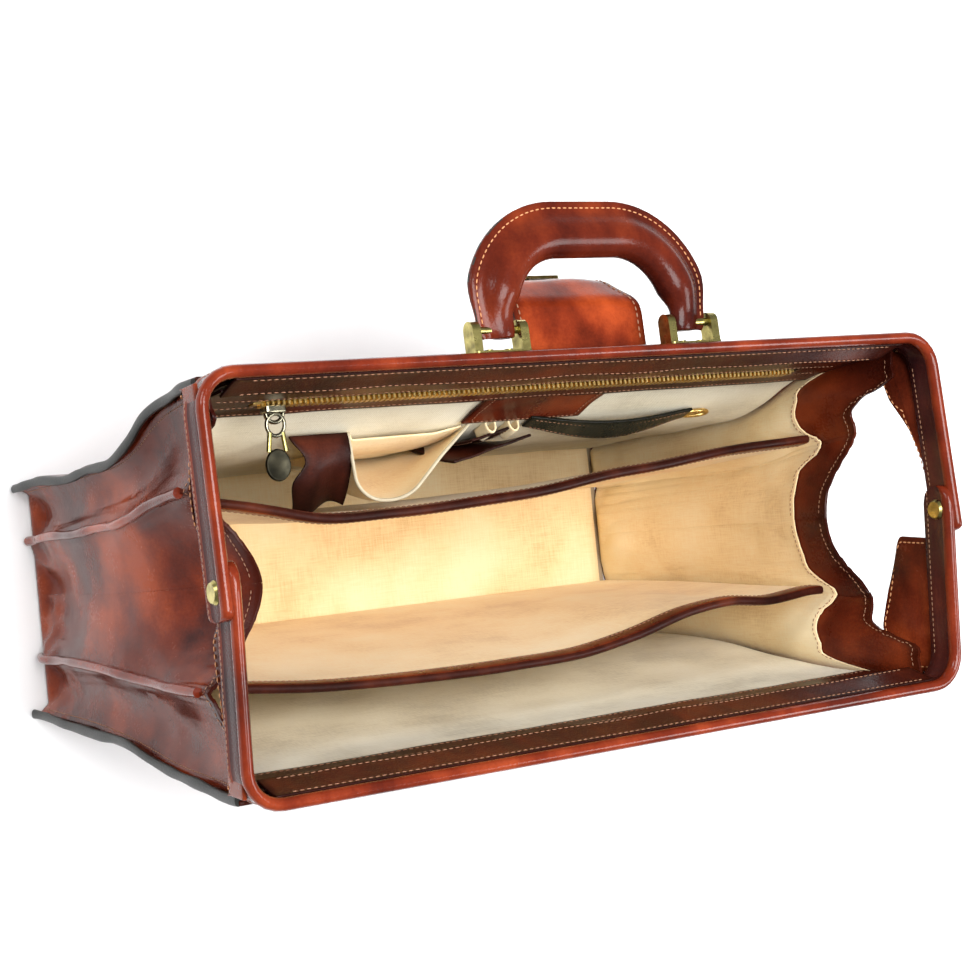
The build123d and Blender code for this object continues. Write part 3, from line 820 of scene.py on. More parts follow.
    @staticmethod
    def cut_out(piece: Any, faces: Sequence[int]) -> None:
        """Deletes some of a piece's faces.

        Args:
            piece: the piece.
            faces: their indices.
        """
        Bench.edit(piece, lambda: bpy.ops.mesh.select_all(action="DESELECT"))
        for face in faces:
            piece.data.polygons[face].select = True
        Bench.pick(piece)
        bpy.ops.object.mode_set(mode="EDIT")
        bpy.ops.mesh.select_mode(type="FACE")
        bpy.ops.mesh.delete(type="FACE")
        bpy.ops.mesh.select_mode(type="VERT")
        bpy.ops.object.mode_set(mode="OBJECT")

    @staticmethod
    def paint_columns(piece: Any, slot: int, low: float, high: float) -> None:
        """Gives a material slot to the faces between two columns of a grid.

        Args:
            piece: the piece.
            slot: the material slot.
            low: the first column.
            high: the last column.
        """
        across = Bench.read(piece, "across")
        for face in piece.data.polygons:
            columns = [across[v] for v in face.vertices]
            if low <= sum(columns) / len(columns) <= high and max(columns) - min(columns) < 1.5:
                face.material_index = slot


class Stitch:
    """One stitch, modelled once and copied along seams."""

    def __init__(self) -> None:
        """Models the stitch as a short plump rod."""
        Bench.clear()
        bpy.ops.mesh.primitive_uv_sphere_add(segments=6, ring_count=4, radius=0.5)
        rod = Bench.named("stitch_pattern")
        Bench.edit(
            rod, lambda: bpy.ops.transform.rotate(value=math.pi / 2, orient_axis="Y", center_override=(0, 0, 0)))
        self.points = np.array([v.co for v in rod.data.vertices])
        self.faces = [tuple(p.vertices) for p in rod.data.polygons]
        bpy.data.objects.remove(rod)

    def sew(
        self, name: str, rows: Sequence[tuple[Array, Array]], material: Any, pitch: float = 3.4 * MM,
        width: float = 0.9 * MM,
    ) -> Any:
        """Sews rows of stitches.

        Args:
            name: the seam's name.
            rows: the points of each row and the way out of the leather at each.
            material: the thread.
            pitch: from stitch to stitch.
            width: how thick the thread looks.

        Returns:
            One piece with all the stitches.
        """
        points, faces = [], []
        for line, out in rows:
            run = run_along(line)
            count = max(2, int(run[-1] / pitch))
            for place in (np.arange(count) + 0.5) * run[-1] / count:
                spot = np.array([np.interp(place, run, line[:, k]) for k in range(3)])
                ahead = np.array([np.interp(place + pitch / 3, run, line[:, k]) for k in range(3)])
                behind = np.array([np.interp(place - pitch / 3, run, line[:, k]) for k in range(3)])
                way = (ahead - behind) / max(np.linalg.norm(ahead - behind), TINY)
                normal = np.array([np.interp(place, run, out[:, k]) for k in range(3)])
                beside = np.cross(normal, way)
                beside /= max(np.linalg.norm(beside), TINY)
                normal = np.cross(way, beside)
                axes = np.stack([way * 0.74 * pitch, beside * width, normal * 0.7 * width])
                faces.extend(tuple(v + len(points) * len(self.points) for v in f) for f in self.faces)
                points.append(spot + normal * 0.08 * width + self.points @ axes)
        mesh = bpy.data.meshes.new(name)
        mesh.from_pydata(np.concatenate(points).tolist(), [], faces)
        mesh.materials.append(material)
        seam = bpy.data.objects.new(name, mesh)
        bpy.context.scene.collection.objects.link(seam)
        Bench.smooth(seam, 80)
        return seam


@dataclass
class Maker:
    """What every sub-assembly needs: the finishes, the stitch and a way to hand over its pieces."""

    finishes: Finishes
    stitch: Stitch

    def hand_over(
        self, piece: Any, body: str, slot: str, *materials: Any, replaces: Sequence[str] = (), blend: Any = None
    ) -> Any:
        """Dresses a piece and fastens it to its body, unless a blend is given.

        Args:
            piece: the finished piece.
            body: the body that it rides on.
            slot: a material slot name; not used.
            materials: its materials in order, unless it has them already.
            replaces: the nodes that it stands for.
            blend: a second body and two points; when given, the piece stays where it is, fastened to no body.

        Returns:
            The piece.
        """
        if materials:
            indices = [p.material_index for p in piece.data.polygons]
            piece.data.materials.clear()
            for material in materials:
                piece.data.materials.append(material)
            piece.data.polygons.foreach_set("material_index", indices)
        if blend:
            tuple(blend[1])
            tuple(blend[2])
            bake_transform(piece)
        else:
            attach(piece, body)
        if replaces:
            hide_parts(*replaces)
        LOG.info("%s rides on %s, %d faces", piece.name, body, len(piece.data.polygons))
        return piece

    def rod(
        self, name: str, line: Array, beside: Sequence[float], thin: float, wide: float, finish: Any, body: str,
        closed: bool = False, slot: str = "dark_metal", replaces: Sequence[str] = (),
    ) -> Any:
        """A flattened rod along a line.

        Args:
            name: its name.
            line: its points.
            beside: the way across it.
            thin: its radius the other way.
            wide: its radius that way.
            finish: its metal.
            body: the body that it rides on.
            closed: whether its last point is its first.
            slot: the slot name handed on to hand_over.
            replaces: the nodes that it stands for.

        Returns:
            The rod.
        """
        up = np.tile(np.array(beside, float), (len(line), 1))
        ahead = directions(line)
        if closed:
            ahead[0] = ahead[-1] = ahead[0] + ahead[-1]
            ahead[0] /= np.linalg.norm(ahead[0])
            ahead[-1] = ahead[0]
        out = np.cross(ahead, up)
        turn = np.linspace(0, 2 * np.pi, 13)[:-1]
        profile = np.stack([thin * np.cos(turn), wide * np.sin(turn)], axis=1)
        rod = Bench.sweep(name, line, out, up, profile)
        Bench.smooth(rod, 75)
        self.hand_over(rod, body, slot, finish, replaces=replaces)
        return rod


# ---- where the leather stands
@dataclass(frozen=True)
class Wall:
    """The curved stand of the front or back wall."""

    side: Side
    knots: tuple[tuple[float, float], ...]

    def point(self, x: Any, z: Any, depth: Any) -> Array:
        """A point of the wall.

        Args:
            x: place along the bag.
            z: height of the outer face.
            depth: how far in from the outer face.

        Returns:
            Points, one to a row.
        """
        z = np.asarray(z, float)
        reach = smooth_curve(self.knots, z)
        slope = (smooth_curve(self.knots, z + MM) - smooth_curve(self.knots, z - MM)) / (2 * MM)
        length = np.sqrt(1 + slope**2)
        return stack(x, self.side.value * (reach - depth / length), z + depth * slope / length)

    def inward(self, z: Any) -> Array:
        """The way into the bag at each height."""
        z = np.asarray(z, float)
        return directions_between(self.point(0.0, z, 0.0), self.point(0.0, z, MM))


def directions_between(first: Array, second: Array) -> Array:
    """Unit vectors from one set of points to another."""
    way = second - first
    return way / np.maximum(np.linalg.norm(way, axis=-1, keepdims=True), TINY)


BACK_WALL = Wall(
    Side.BACK,
    ((0.003, 0.0635), (0.06, 0.065), (0.13, 0.0668), (0.168, 0.0697), (0.19, 0.0752), (0.21, 0.083),
     (0.232, 0.0885), (0.25, 0.0906), (0.272, 0.0926), (0.2895, 0.094)),
)
FRONT_WALL = Wall(
    Side.FRONT,
    ((0.003, 0.069), (0.05, 0.071), (0.095, 0.0735), (0.138, 0.078), (0.178, 0.0845), (0.215, 0.0895),
     (0.25, 0.0924), (0.2895, 0.094)),
)


# ---- panels and base
@dataclass
class Panel(Maker):
    """The front or back wall: leather, board and canvas, with a painted edge at each end."""

    wall: Wall
    body: str
    half_width: float = 0.203
    inner_half: float = 0.1915
    leather: float = 2.6 * MM
    top: float = 0.2892
    canvas_top: float = 0.24

    def waved(self, x: Array, z: Array, depth: float) -> Array:
        """The wall's place, with the slow waves of soft leather and uneven ends.

        Args:
            x: places along the bag.
            z: heights.
            depth: how far in from the outer face.

        Returns:
            Points, one to a row.
        """
        points = self.wall.point(x, z, depth)
        near_end = smooth_step(0.14, 0.203, np.abs(x))
        soft = np.sin(np.pi * np.clip(z / 0.29, 0, 1)) ** 0.5
        seed = 11 if self.wall.side is Side.BACK else 12
        points[:, 1] += (0.5 * MM + 1.5 * MM * near_end) * soft * ripple(points * (1, 0.2, 1), 0.09, seed)
        points[:, 0] += np.sign(x) * near_end * (1.0 * MM * ripple(points, 0.05, seed + 3) + self.flare(z))
        return points

    def flare(self, z: Array) -> Array:
        """How far the wall's corners reach out to the hoop's legs."""
        return (4.5 * MM if self.wall.side is Side.BACK else 2.2 * MM) * smooth_step(0.235, 0.287, z)

    def build(self) -> None:
        """Makes the wall's layers and its welts."""
        side = self.wall.side
        label = side.name.lower()
        into = (0, -side.value, 0)
        leather = Bench.grid(
            f"{label}_wall_leather", np.linspace(-self.half_width, self.half_width, 120),
            np.linspace(2.7 * MM, self.top, 84), lambda x, z: self.waved(x, z, 0.0),
        )
        Bench.fade(leather, 7 * MM)
        Bench.thicken(leather, self.leather, into, inner=1, rim=2)
        self.hand_over(
            leather, self.body, "chestnut_leather", self.finishes.hide, self.finishes.inside_hide,
            self.finishes.paint, replaces=[f"{label}_panel_leather"],
        )
        board = Bench.grid(
            f"{label}_wall_board", np.linspace(-0.19, 0.19, 24), np.linspace(9 * MM, 0.281, 60),
            lambda x, z: self.wall.point(x, z, 2.9 * MM),
        )
        Bench.thicken(board, 0.9 * MM, into)
        self.hand_over(board, self.body, "stiffener", self.finishes.board, replaces=[f"{label}_panel_board"])
        canvas = Bench.grid(
            f"{label}_wall_canvas", np.linspace(-self.inner_half, self.inner_half, 150),
            np.linspace(7 * MM, self.canvas_top, 90), self.canvas_place,
        )
        Bench.fade(canvas, 6 * MM)
        Bench.thicken(canvas, 0.8 * MM, into)
        self.hand_over(canvas, self.body, "canvas", self.finishes.wall_canvas, replaces=[f"{label}_panel_lining"])
        for end in End:
            self.welt(end)

    def canvas_place(self, x: Array, z: Array) -> Array:
        """The canvas, with faint puckers that stay clear of the board.

        Args:
            x: places along the bag.
            z: heights.

        Returns:
            Points, one to a row.
        """
        flat = self.wall.point(x, z, 4.0 * MM)
        pucker = 0.45 * MM * (1 + ripple(flat * (1, 0.2, 0.5), 0.035, 21))
        return self.wall.point(x, z, 4.0 * MM + np.clip(pucker, 0, 0.9 * MM))

    def welt(self, end: End) -> None:
        """The thick painted edge where the wall and the gusset are sewn together.

        Args:
            end: the end that it is on.
        """
        z = np.linspace(3.2 * MM, self.top - MM, 110)
        line = self.waved(np.full(len(z), end.value * self.half_width), z, 2.6 * MM)
        uneven = 0.1 * MM + 0.5 * MM * ripple(line, 0.05, 31 + end.value) + self.flare(z)
        line[:, 0] = end.value * (self.half_width + uneven)
        out = np.tile([end.value, 0.0, 0.0], (len(z), 1))
        up = -self.wall.inward(z)
        turn = np.linspace(0, 2 * np.pi, 17)[:-1]
        profile = np.stack([1.6 * MM * np.cos(turn), 2.5 * MM * np.sign(np.sin(turn)) * np.abs(np.sin(turn)) ** 0.7], 1)
        wave = 1 + 0.16 * ripple(line, 0.03, 37 + end.value)
        size = np.stack([wave, wave], axis=1)
        name = f"{self.wall.side.name.lower()}_{end.name.lower()}_welt"
        welt = Bench.sweep(name, line, out, up, profile, size)
        Bench.smooth(welt, 80)
        self.hand_over(welt, self.body, "chestnut_leather", self.finishes.paint)


@dataclass
class Base(Maker):
    """The bottom of the bag."""

    half_length: float = 0.1915
    half_depth: float = 0.0655

    def build(self) -> None:
        """Makes the base leather and the canvas on its board."""
        leather = Bench.grid(
            "base_hide", np.linspace(-self.half_length, self.half_length, 70),
            np.linspace(-self.half_depth, self.half_depth, 26), lambda x, y: stack(x, y, 0.1 * MM + 0 * x),
        )
        Bench.fade(leather, 6 * MM)
        Bench.thicken(leather, 2.4 * MM, (0, 0, 1), rim=1)
        self.hand_over(
            leather, "bag_body", "chestnut_leather", self.finishes.hide, self.finishes.paint,
            replaces=["base_leather"],
        )
        canvas = Bench.grid(
            "floor_canvas_sheet", np.linspace(-0.1885, 0.1885, 100), np.linspace(-0.0595, 0.0595, 40),
            lambda x, y: stack(x, y, 5.0 * MM + 0.5 * MM * (1 + ripple(stack(x, y, 0 * x), 0.05, 41))),
        )
        Bench.fade(canvas, 6 * MM)
        Bench.thicken(canvas, 0.7 * MM, (0, 0, 1))
        self.hand_over(canvas, "bag_body", "gold_canvas", self.finishes.floor_canvas, replaces=["base_lining"])


# ---- gussets
@dataclass
class Gusset(Maker):
    """A pleated end: two ridges with a deep valley between them and a shallow one on each side."""

    end: End
    foot: float = 3 * MM
    ridge: float = 0.52
    leather: float = 1.7 * MM
    free_edge: tuple[tuple[float, float], ...] = (
        (0.0, 0.231), (0.18, 0.234), (0.31, 0.241), (0.45, 0.252), (0.57, 0.257), (0.68, 0.2595),
        (0.76, 0.2765), (0.80, 0.2885), (0.88, 0.2892), (1.0, 0.2892))
    canvas_edge: tuple[tuple[float, float], ...] = (
        (0.0, 0.206), (0.24, 0.2085), (0.37, 0.212), (0.475, 0.2275), (0.54, 0.2275), (0.62, 0.2205),
        (0.72, 0.2175), (0.83, 0.220), (0.93, 0.2245), (1.0, 0.258))
    middle_depth: tuple[tuple[float, float], ...] = (
        (0.003, 0.0045), (0.03, 0.0085), (0.07, 0.0065), (0.15, 0.0055), (0.19, 0.007), (0.215, 0.007), (0.24, 0.0065))
    side_depth: tuple[tuple[float, float], ...] = (
        (0.003, 0.010), (0.025, 0.008), (0.06, 0.0065), (0.16, 0.0065), (0.22, 0.0075), (0.25, 0.005), (0.285, 0.002))
    ridge_inset: tuple[tuple[float, float], ...] = ((0.003, 0.0045), (0.03, 0.002), (0.07, 0.0), (0.3, 0.0))

    def point(self, wall: Wall, t: Array, z: Array, inset: float) -> Array:
        """A point of the pleated end.

        Args:
            wall: the wall that this half runs to.
            t: 0 at the middle of the end and 1 at the wall.
            z: heights.
            inset: how far in from the outer face.

        Returns:
            Points, one to a row.
        """
        t, z = np.asarray(t, float), np.asarray(z, float)
        reach = smooth_curve(wall.knots, z) - 3.0 * MM
        inner = smooth_curve(self.middle_depth, z) * np.cos(np.pi / 2 * np.clip(t / self.ridge, 0, 1))
        outer_share = np.clip((t - self.ridge) / (1 - self.ridge), 0, 1)
        outer = smooth_curve(self.side_depth, z) * np.sin(np.pi * outer_share) + 2.2 * MM * outer_share
        x = 0.2018 - inner - outer - inset - smooth_curve(self.ridge_inset, z) * (1 - outer_share)
        y = wall.side.value * t * (reach - 0.4 * inset)
        points = stack(self.end.value * x, y, z)
        seed = 50 + 7 * self.end.value + wall.side.value
        crumple = 1.2 * smooth_step(0.075, 0.015, z) + 0.25 * smooth_step(0.14, 0.19, z) * smooth_step(0.25, 0.21, z)
        calm = np.sin(np.pi * np.clip(t, 0, 1)) ** 0.5 * 0.7 + 0.3
        sway = ripple(stack(y, z, 0 * z), 0.075, seed) * 1.2 * MM * smooth_step(0.26, 0.22, z)
        fold = np.abs(ripple(stack(y, 0.6 * z, 0 * z), 0.03, seed + 20)) * 2.6 * MM * crumple
        points[:, 0] -= self.end.value * (np.clip(sway, -0.8 * MM, 2 * MM) + fold) * calm
        wide = 4.0 * MM if wall.side is Side.BACK else 2.0 * MM
        points[:, 0] += self.end.value * wide * smooth_step(0.235, 0.287, z) * smooth_step(0.55, 1, t)
        least = 0.1945 - inset - 0.04 * smooth_step(0.006, 0.045, z)
        points[:, 0] = self.end.value * np.maximum(np.abs(points[:, 0]), least)
        points[:, 1] += 0.9 * MM * ripple(stack(z, 3 * t, 0 * z), 0.08, seed + 5) * np.sin(np.pi * t)
        return points

    def blend_to(self, wall: Wall) -> tuple[str, Sequence[float], Sequence[float]]:
        """The wall's body and two points, handed on to hand_over as the half's blend."""
        return (f"{wall.side.name.lower()}_panel", (0, 0, 0.2), (0, wall.side.value * 0.0765, 0.1913))

    def build(self) -> None:
        """Makes both halves."""
        for wall in (BACK_WALL, FRONT_WALL):
            self.half(wall)

    def half(self, wall: Wall) -> None:
        """Makes the leather, canvas, ridge and stitches from the middle to one wall.

        Args:
            wall: the wall that it runs to.
        """
        end, label = self.end, f"{self.end.name.lower()}_{wall.side.name.lower()}"
        slip = {"blend": self.blend_to(wall)}
        t = np.unique(np.concatenate([np.linspace(0, 0.47, 22), np.linspace(0.47, 0.57, 9), np.linspace(0.57, 1, 22)]))
        share = np.linspace(0, 1, 90)

        def skin(a: Array, s: Array) -> Array:
            """The leather's outer face."""
            top = smooth_curve(self.free_edge, a)
            return self.point(wall, a, self.foot + (top - self.foot) * s, 0.0)

        into = (-end.value, 0, 0)
        leather = Bench.grid(f"{label}_gusset_hide", t, share, skin)
        Bench.mark_rim(leather, smooth_step(0.955, 1.0, Bench.read(leather, "along")))
        Bench.thicken(leather, self.leather, into, inner=1, rim=2)
        side_name = self.end.name.lower()
        self.hand_over(
            leather, "bag_body", "chestnut_leather", self.finishes.hide, self.finishes.inside_hide,
            self.finishes.paint, replaces=[f"{side_name}_gusset"], **slip,
        )

        def cloth(a: Array, s: Array) -> Array:
            """The canvas, just inside the leather.

            Args:
                a: 0 at the middle and 1 at the wall.
                s: 0 at the foot and 1 at the top.

            Returns:
                Points, one to a row.
            """
            top = smooth_curve(self.canvas_edge, a)
            low = 6.5 * MM
            return self.point(wall, a, low + (top - low) * s, self.leather + 1.0 * MM)

        canvas = Bench.grid(f"{label}_gusset_canvas", t, share, cloth)
        Bench.mark_rim(canvas, 0.8 * smooth_step(0.985, 1.0, Bench.read(canvas, "along")))
        Bench.thicken(canvas, 0.8 * MM, into)
        self.hand_over(
            canvas, "bag_body", "gold_canvas", self.finishes.end_canvas,
            replaces=[f"{side_name}_gusset_lining"], **slip,
        )
        self.piping(wall, label, slip)
        self.seams(wall, label, slip)

    def piping(self, wall: Wall, label: str, slip: dict) -> None:
        """The rolled seam on the ridge.

        Args:
            wall: the wall on its side.
            label: the start of its name.
            slip: the blend handed on to hand_over.
        """
        top = float(smooth_curve(self.free_edge, np.array([self.ridge]))[0]) - 9 * MM
        z = np.linspace(self.foot + MM, top, 90)
        line = self.point(wall, np.full(len(z), self.ridge), z, -0.8 * MM)
        out = np.tile([self.end.value, 0.0, 0.0], (len(z), 1))
        up = np.tile([0.0, 1.0, 0.0], (len(z), 1))
        turn = np.linspace(0, 2 * np.pi, 15)[:-1]
        profile = np.stack([2.3 * MM * np.cos(turn), 2.5 * MM * np.sin(turn)], axis=1)
        wave = 1 + 0.1 * ripple(line, 0.025, 71 + self.end.value * wall.side.value)
        roll = Bench.sweep(f"{label}_ridge_roll", line, out, up, profile, np.stack([wave, wave], 1))
        Bench.smooth(roll, 80)
        self.hand_over(roll, "bag_body", "chestnut_leather", self.finishes.bead, **slip)

    def seams(self, wall: Wall, label: str, slip: dict) -> None:
        """Stitches along the free edge, inside and out, and beside the wall's welt.

        Args:
            wall: the wall on their side.
            label: the start of their name.
            slip: the blend handed on to hand_over.
        """
        t = np.linspace(0.03, 0.94, 120)
        z = smooth_curve(self.free_edge, t) - 4.6 * MM
        x_out, x_in = self.end.value, -self.end.value
        rows = []
        for inset, way in ((-0.1 * MM, x_out), (self.leather + 0.1 * MM, x_in)):
            line = self.point(wall, t, z, inset)
            rows.append((line, np.tile([way, 0.0, 0.0], (len(t), 1))))
        canvas_z = smooth_curve(self.canvas_edge, t) - 2.2 * MM
        line = self.point(wall, t, canvas_z, self.leather + 1.9 * MM)
        rows.append((line, np.tile([x_in, 0.0, 0.0], (len(t), 1))))
        height = np.linspace(8 * MM, 0.27, 120)
        beside = self.point(wall, np.full(120, 0.965), height, -0.1 * MM)
        rows.append((beside, np.tile([x_out, 0.0, 0.0], (120, 1))))
        seam = self.stitch.sew(
            f"{label}_gusset_stitches", rows, self.finishes.dull_thread, pitch=2.8 * MM, width=0.65 * MM)
        self.hand_over(seam, "bag_body", "chestnut_leather", **slip)


# ---- mouth hoops
@dataclass
class Hoop(Maker):
    """A flat steel hoop in stitched leather, with a round bead along its top."""

    side: Side
    leg_x: float
    pivot_z: float = 0.3065186
    droop: float = math.radians(3.9)
    reach: float = 0.0955
    corner: float = 0.018
    tail: float = 0.013
    tip: float = 0.0095
    profile: tuple[tuple[float, float], ...] = (
        (0.0, -2.0), (0.0, -6.4), (0.45, -7.2), (0.75, -8.4), (0.35, -9.7), (-0.7, -10.3), (-3.2, -10.1),
        (-4.0, -9.2), (-4.0, -3.0), (-4.0, 3.6), (-4.5, 4.6), (-4.9, 6.4), (-4.4, 8.2), (-3.2, 9.6),
        (-1.9, 10.1), (-0.5, 9.8), (0.6, 8.7), (1.1, 7.1), (0.9, 5.6), (0.3, 4.6), (-0.15, 4.1), (0.0, 3.4),
        (0.0, 0.7))

    @property
    def label(self) -> str:
        """back or front."""
        return self.side.name.lower()

    def place(self, x: Any, u: Any, v: Any) -> Array:
        """A point of the hoop's own plane: along the bag, out from the rivets, and up.

        Args:
            x: places along the bag.
            u: how far out from the rivets.
            v: how far up.

        Returns:
            Points, one to a row.
        """
        c, s = math.cos(self.droop), math.sin(self.droop)
        u, v = np.asarray(u, float), np.asarray(v, float)
        return stack(x, self.side.value * (u * c + v * s), self.pivot_z - u * s + v * c)

    def line(self, step: float = 5 * MM) -> Array:
        """The outer line of the hoop, as x and u.

        Args:
            step: about how far apart its points are.

        Returns:
            The line's points.
        """
        low = -self.tail
        line = rounded_line(
            [(-self.leg_x, low, 0), (-self.leg_x, self.reach, self.corner), (self.leg_x, self.reach, self.corner),
             (self.leg_x, low, 0)], step)
        steps = low + np.array([0.0, 0.35, 1.2, 2.6, 4.4]) * MM
        first = np.stack([np.full(5, -self.leg_x), steps], axis=1)
        last = np.stack([np.full(5, self.leg_x), steps[::-1]], axis=1)
        return np.vstack([first, line[1:-1], last])

    def ways(self, line: Array) -> tuple[Array, Array]:
        """The way out and the way up, at each point of a line in the hoop's plane.

        Args:
            line: the line's points.

        Returns:
            Both ways, one vector to a point.
        """
        ahead = directions(line)
        out = np.stack([-ahead[:, 1], ahead[:, 0]], axis=1)
        zero = self.place(0.0, 0.0, 0.0)
        return self.place(out[:, 0], out[:, 1], 0.0) - zero, np.tile(self.place(0.0, 0.0, 1.0) - zero, (len(line), 1))

    def build(self) -> None:
        """Makes the cover, its stitches, the dark inner band and the tabs."""
        flat = self.line()
        out, up = self.ways(flat)
        points = self.place(flat[:, 0], flat[:, 1], 0.0)
        run = run_along(flat)
        near = np.minimum(run, run[-1] - run)
        round_end = np.sqrt(np.clip(1 - (1 - np.clip(near / self.tip, 0, 1)) ** 2, 0.02, 1))
        size = np.stack([0.9 + 0.1 * round_end, round_end], axis=1)
        profile = np.array(self.profile) * MM
        cover = Bench.sweep(f"{self.label}_hoop_hide", points, out, up, profile, size)
        Bench.paint_columns(cover, 1, 10.0, 20.0)
        Bench.paint_columns(cover, 2, 1.0, 6.0)
        Bench.smooth(cover, 75)
        # The band's frame leather carries a painted reflection in its purple-brown cast.
        self.hand_over(
            cover, f"{self.label}_frame", "frame_leather", self.finishes.rail, self.finishes.bead,
            self.finishes.bead, replaces=[f"{self.label}_frame_cover"],
        )
        self.seams(flat)
        self.band()
        for end in End:
            self.tab(end)

    def seams(self, flat: Array) -> None:
        """Stitches below the bead, outside all along and inside on the legs.

        Args:
            flat: the hoop's outer line.
        """
        inner = flat[2:-2]
        out, _ = self.ways(inner)
        rows = [(self.place(inner[:, 0], inner[:, 1], -7.6 * MM) + out * 0.5 * MM, out)]
        start = -self.tail + 3 * MM
        for end in End:
            u = np.linspace(start, self.reach - 8 * MM, 40)
            way = np.tile([-float(end.value), 0.0, 0.0], (len(u), 1))
            rows.append((self.place(np.full(len(u), end.value * (self.leg_x - 4.1 * MM)), u, -6.4 * MM), way))
        seam = self.stitch.sew(
            f"{self.label}_hoop_stitches", rows, self.finishes.dull_thread, pitch=2.8 * MM, width=0.6 * MM)
        self.hand_over(seam, f"{self.label}_frame", "frame_leather")

    def band(self) -> None:
        """The dark stitched strip along the inside of the rail."""
        u, v = np.array([-4.2, -4.6, -6.0, -7.6, -8.6]) * MM, np.array([5.0, 1.0, -5.0, -11.0, -15.5]) * MM

        def place(x: Array, s: Array) -> Array:
            """The strip, with slow waves along its lower edge.

            Args:
                x: places along the rail.
                s: 0 at the strip's top and 1 at its foot.

            Returns:
                Points, one to a row.
            """
            wave = 0.6 * MM * ripple(stack(x, 0 * x, 0 * x), 0.05, 81) * s
            knots = np.linspace(0, 1, 5)
            return self.place(x, self.reach + np.interp(s, knots, u) + wave, np.interp(s, knots, v))

        band = Bench.grid(f"{self.label}_rail_band", np.linspace(-0.195, 0.195, 110), np.linspace(0, 1, 13), place)
        Bench.fade(band, 4 * MM)
        Bench.thicken(band, 1.4 * MM, (0, -self.side.value, 0), rim=1)
        self.hand_over(band, f"{self.label}_frame", "dark_leather", self.finishes.facing_hide, self.finishes.paint)
        x = np.linspace(-0.187, 0.187, 120)
        way = np.tile([0.0, -float(self.side.value), 0.15], (120, 1))
        rows = [(place(x, np.full(120, s)) + way * 1.5 * MM, way) for s in (0.12, 0.86)]
        seam = self.stitch.sew(f"{self.label}_band_stitches", rows, self.finishes.dull_thread, width=0.65 * MM)
        self.hand_over(seam, f"{self.label}_frame", "dark_leather")

    @staticmethod
    def lean(outline: Array) -> Array:
        """How far a tab leans in towards the wall's corner, for points of its outline."""
        return 6.5 * MM * smooth_step(-0.011, -0.026, outline[:, 1]) * smooth_step(0.02, 0.075, outline[:, 0])

    def tab(self, end: End) -> None:
        """The stitched wedge that ties one leg to the wall's corner.

        Args:
            end: the leg that it hangs from.
        """
        if self.side is Side.BACK:
            edge = (((10, 3), (12, -8.5), (28, -11.5), (45, -16.5), (64, -24.0), (84, -28.0), (93, -26), (93, 3))
                    if end is End.RIGHT else
                    ((24, 3), (22, -7), (28, -14.5), (45, -19.5), (64, -24.5), (84, -27.5), (90, -20), (90, 3)))
        else:
            edge = (((16, 3), (15.5, -31), (20, -33.5), (46, -39), (66, -41.5), (86, -34.0), (90, -22), (90, 3))
                    if end is End.RIGHT else
                    ((16, 3), (14, -12), (20, -17.5), (42, -18.5), (60, -19.5), (84, -23.0), (90, -16), (90, 3)))
        edge = [(u * MM, v * MM) for u, v in edge]
        radii = [0, 3.5 * MM, 5 * MM, 9 * MM, 9 * MM, 7 * MM, 3 * MM, 0]
        outline = rounded_line([(u, v, r) for (u, v), r in zip(edge, radii)], 2.2 * MM)
        x = end.value * (self.leg_x - 0.8 * MM)
        Bench.clear()
        bpy.ops.mesh.primitive_circle_add(vertices=len(outline), fill_type="NGON")
        tab = Bench.named(f"{self.label}_{end.name.lower()}_tab")
        lean = self.lean(outline)
        spots = self.place(x - end.value * lean, outline[:, 0], outline[:, 1])
        tab.data.vertices.foreach_set("co", spots.astype(np.float32).ravel())
        tab.data.update()
        Bench.thicken(tab, 2.0 * MM, (-end.value, 0, 0), inner=0, rim=1)
        self.hand_over(
            tab, f"{self.label}_frame", "chestnut_leather", self.finishes.hide, self.finishes.paint,
            replaces=[f"{self.label}_leg_tabs"],
        )
        middle = outline[1:-1].mean(axis=0)
        inset = outline + (middle - outline) / np.linalg.norm(middle - outline, axis=1, keepdims=True) * 3.2 * MM
        inset = inset[inset[:, 1] < -10 * MM]
        lean = self.lean(inset)
        rows = []
        for offset, way in ((0.0, end.value), (-2.0 * MM, -end.value)):
            spots = self.place(x - end.value * lean + end.value * offset, inset[:, 0], inset[:, 1])
            rows.append((spots, np.tile([float(way), 0.0, 0.0], (len(inset), 1))))
        seam = self.stitch.sew(f"{tab.name}_stitches", rows, self.finishes.thread)
        self.hand_over(seam, f"{self.label}_frame", "chestnut_leather")


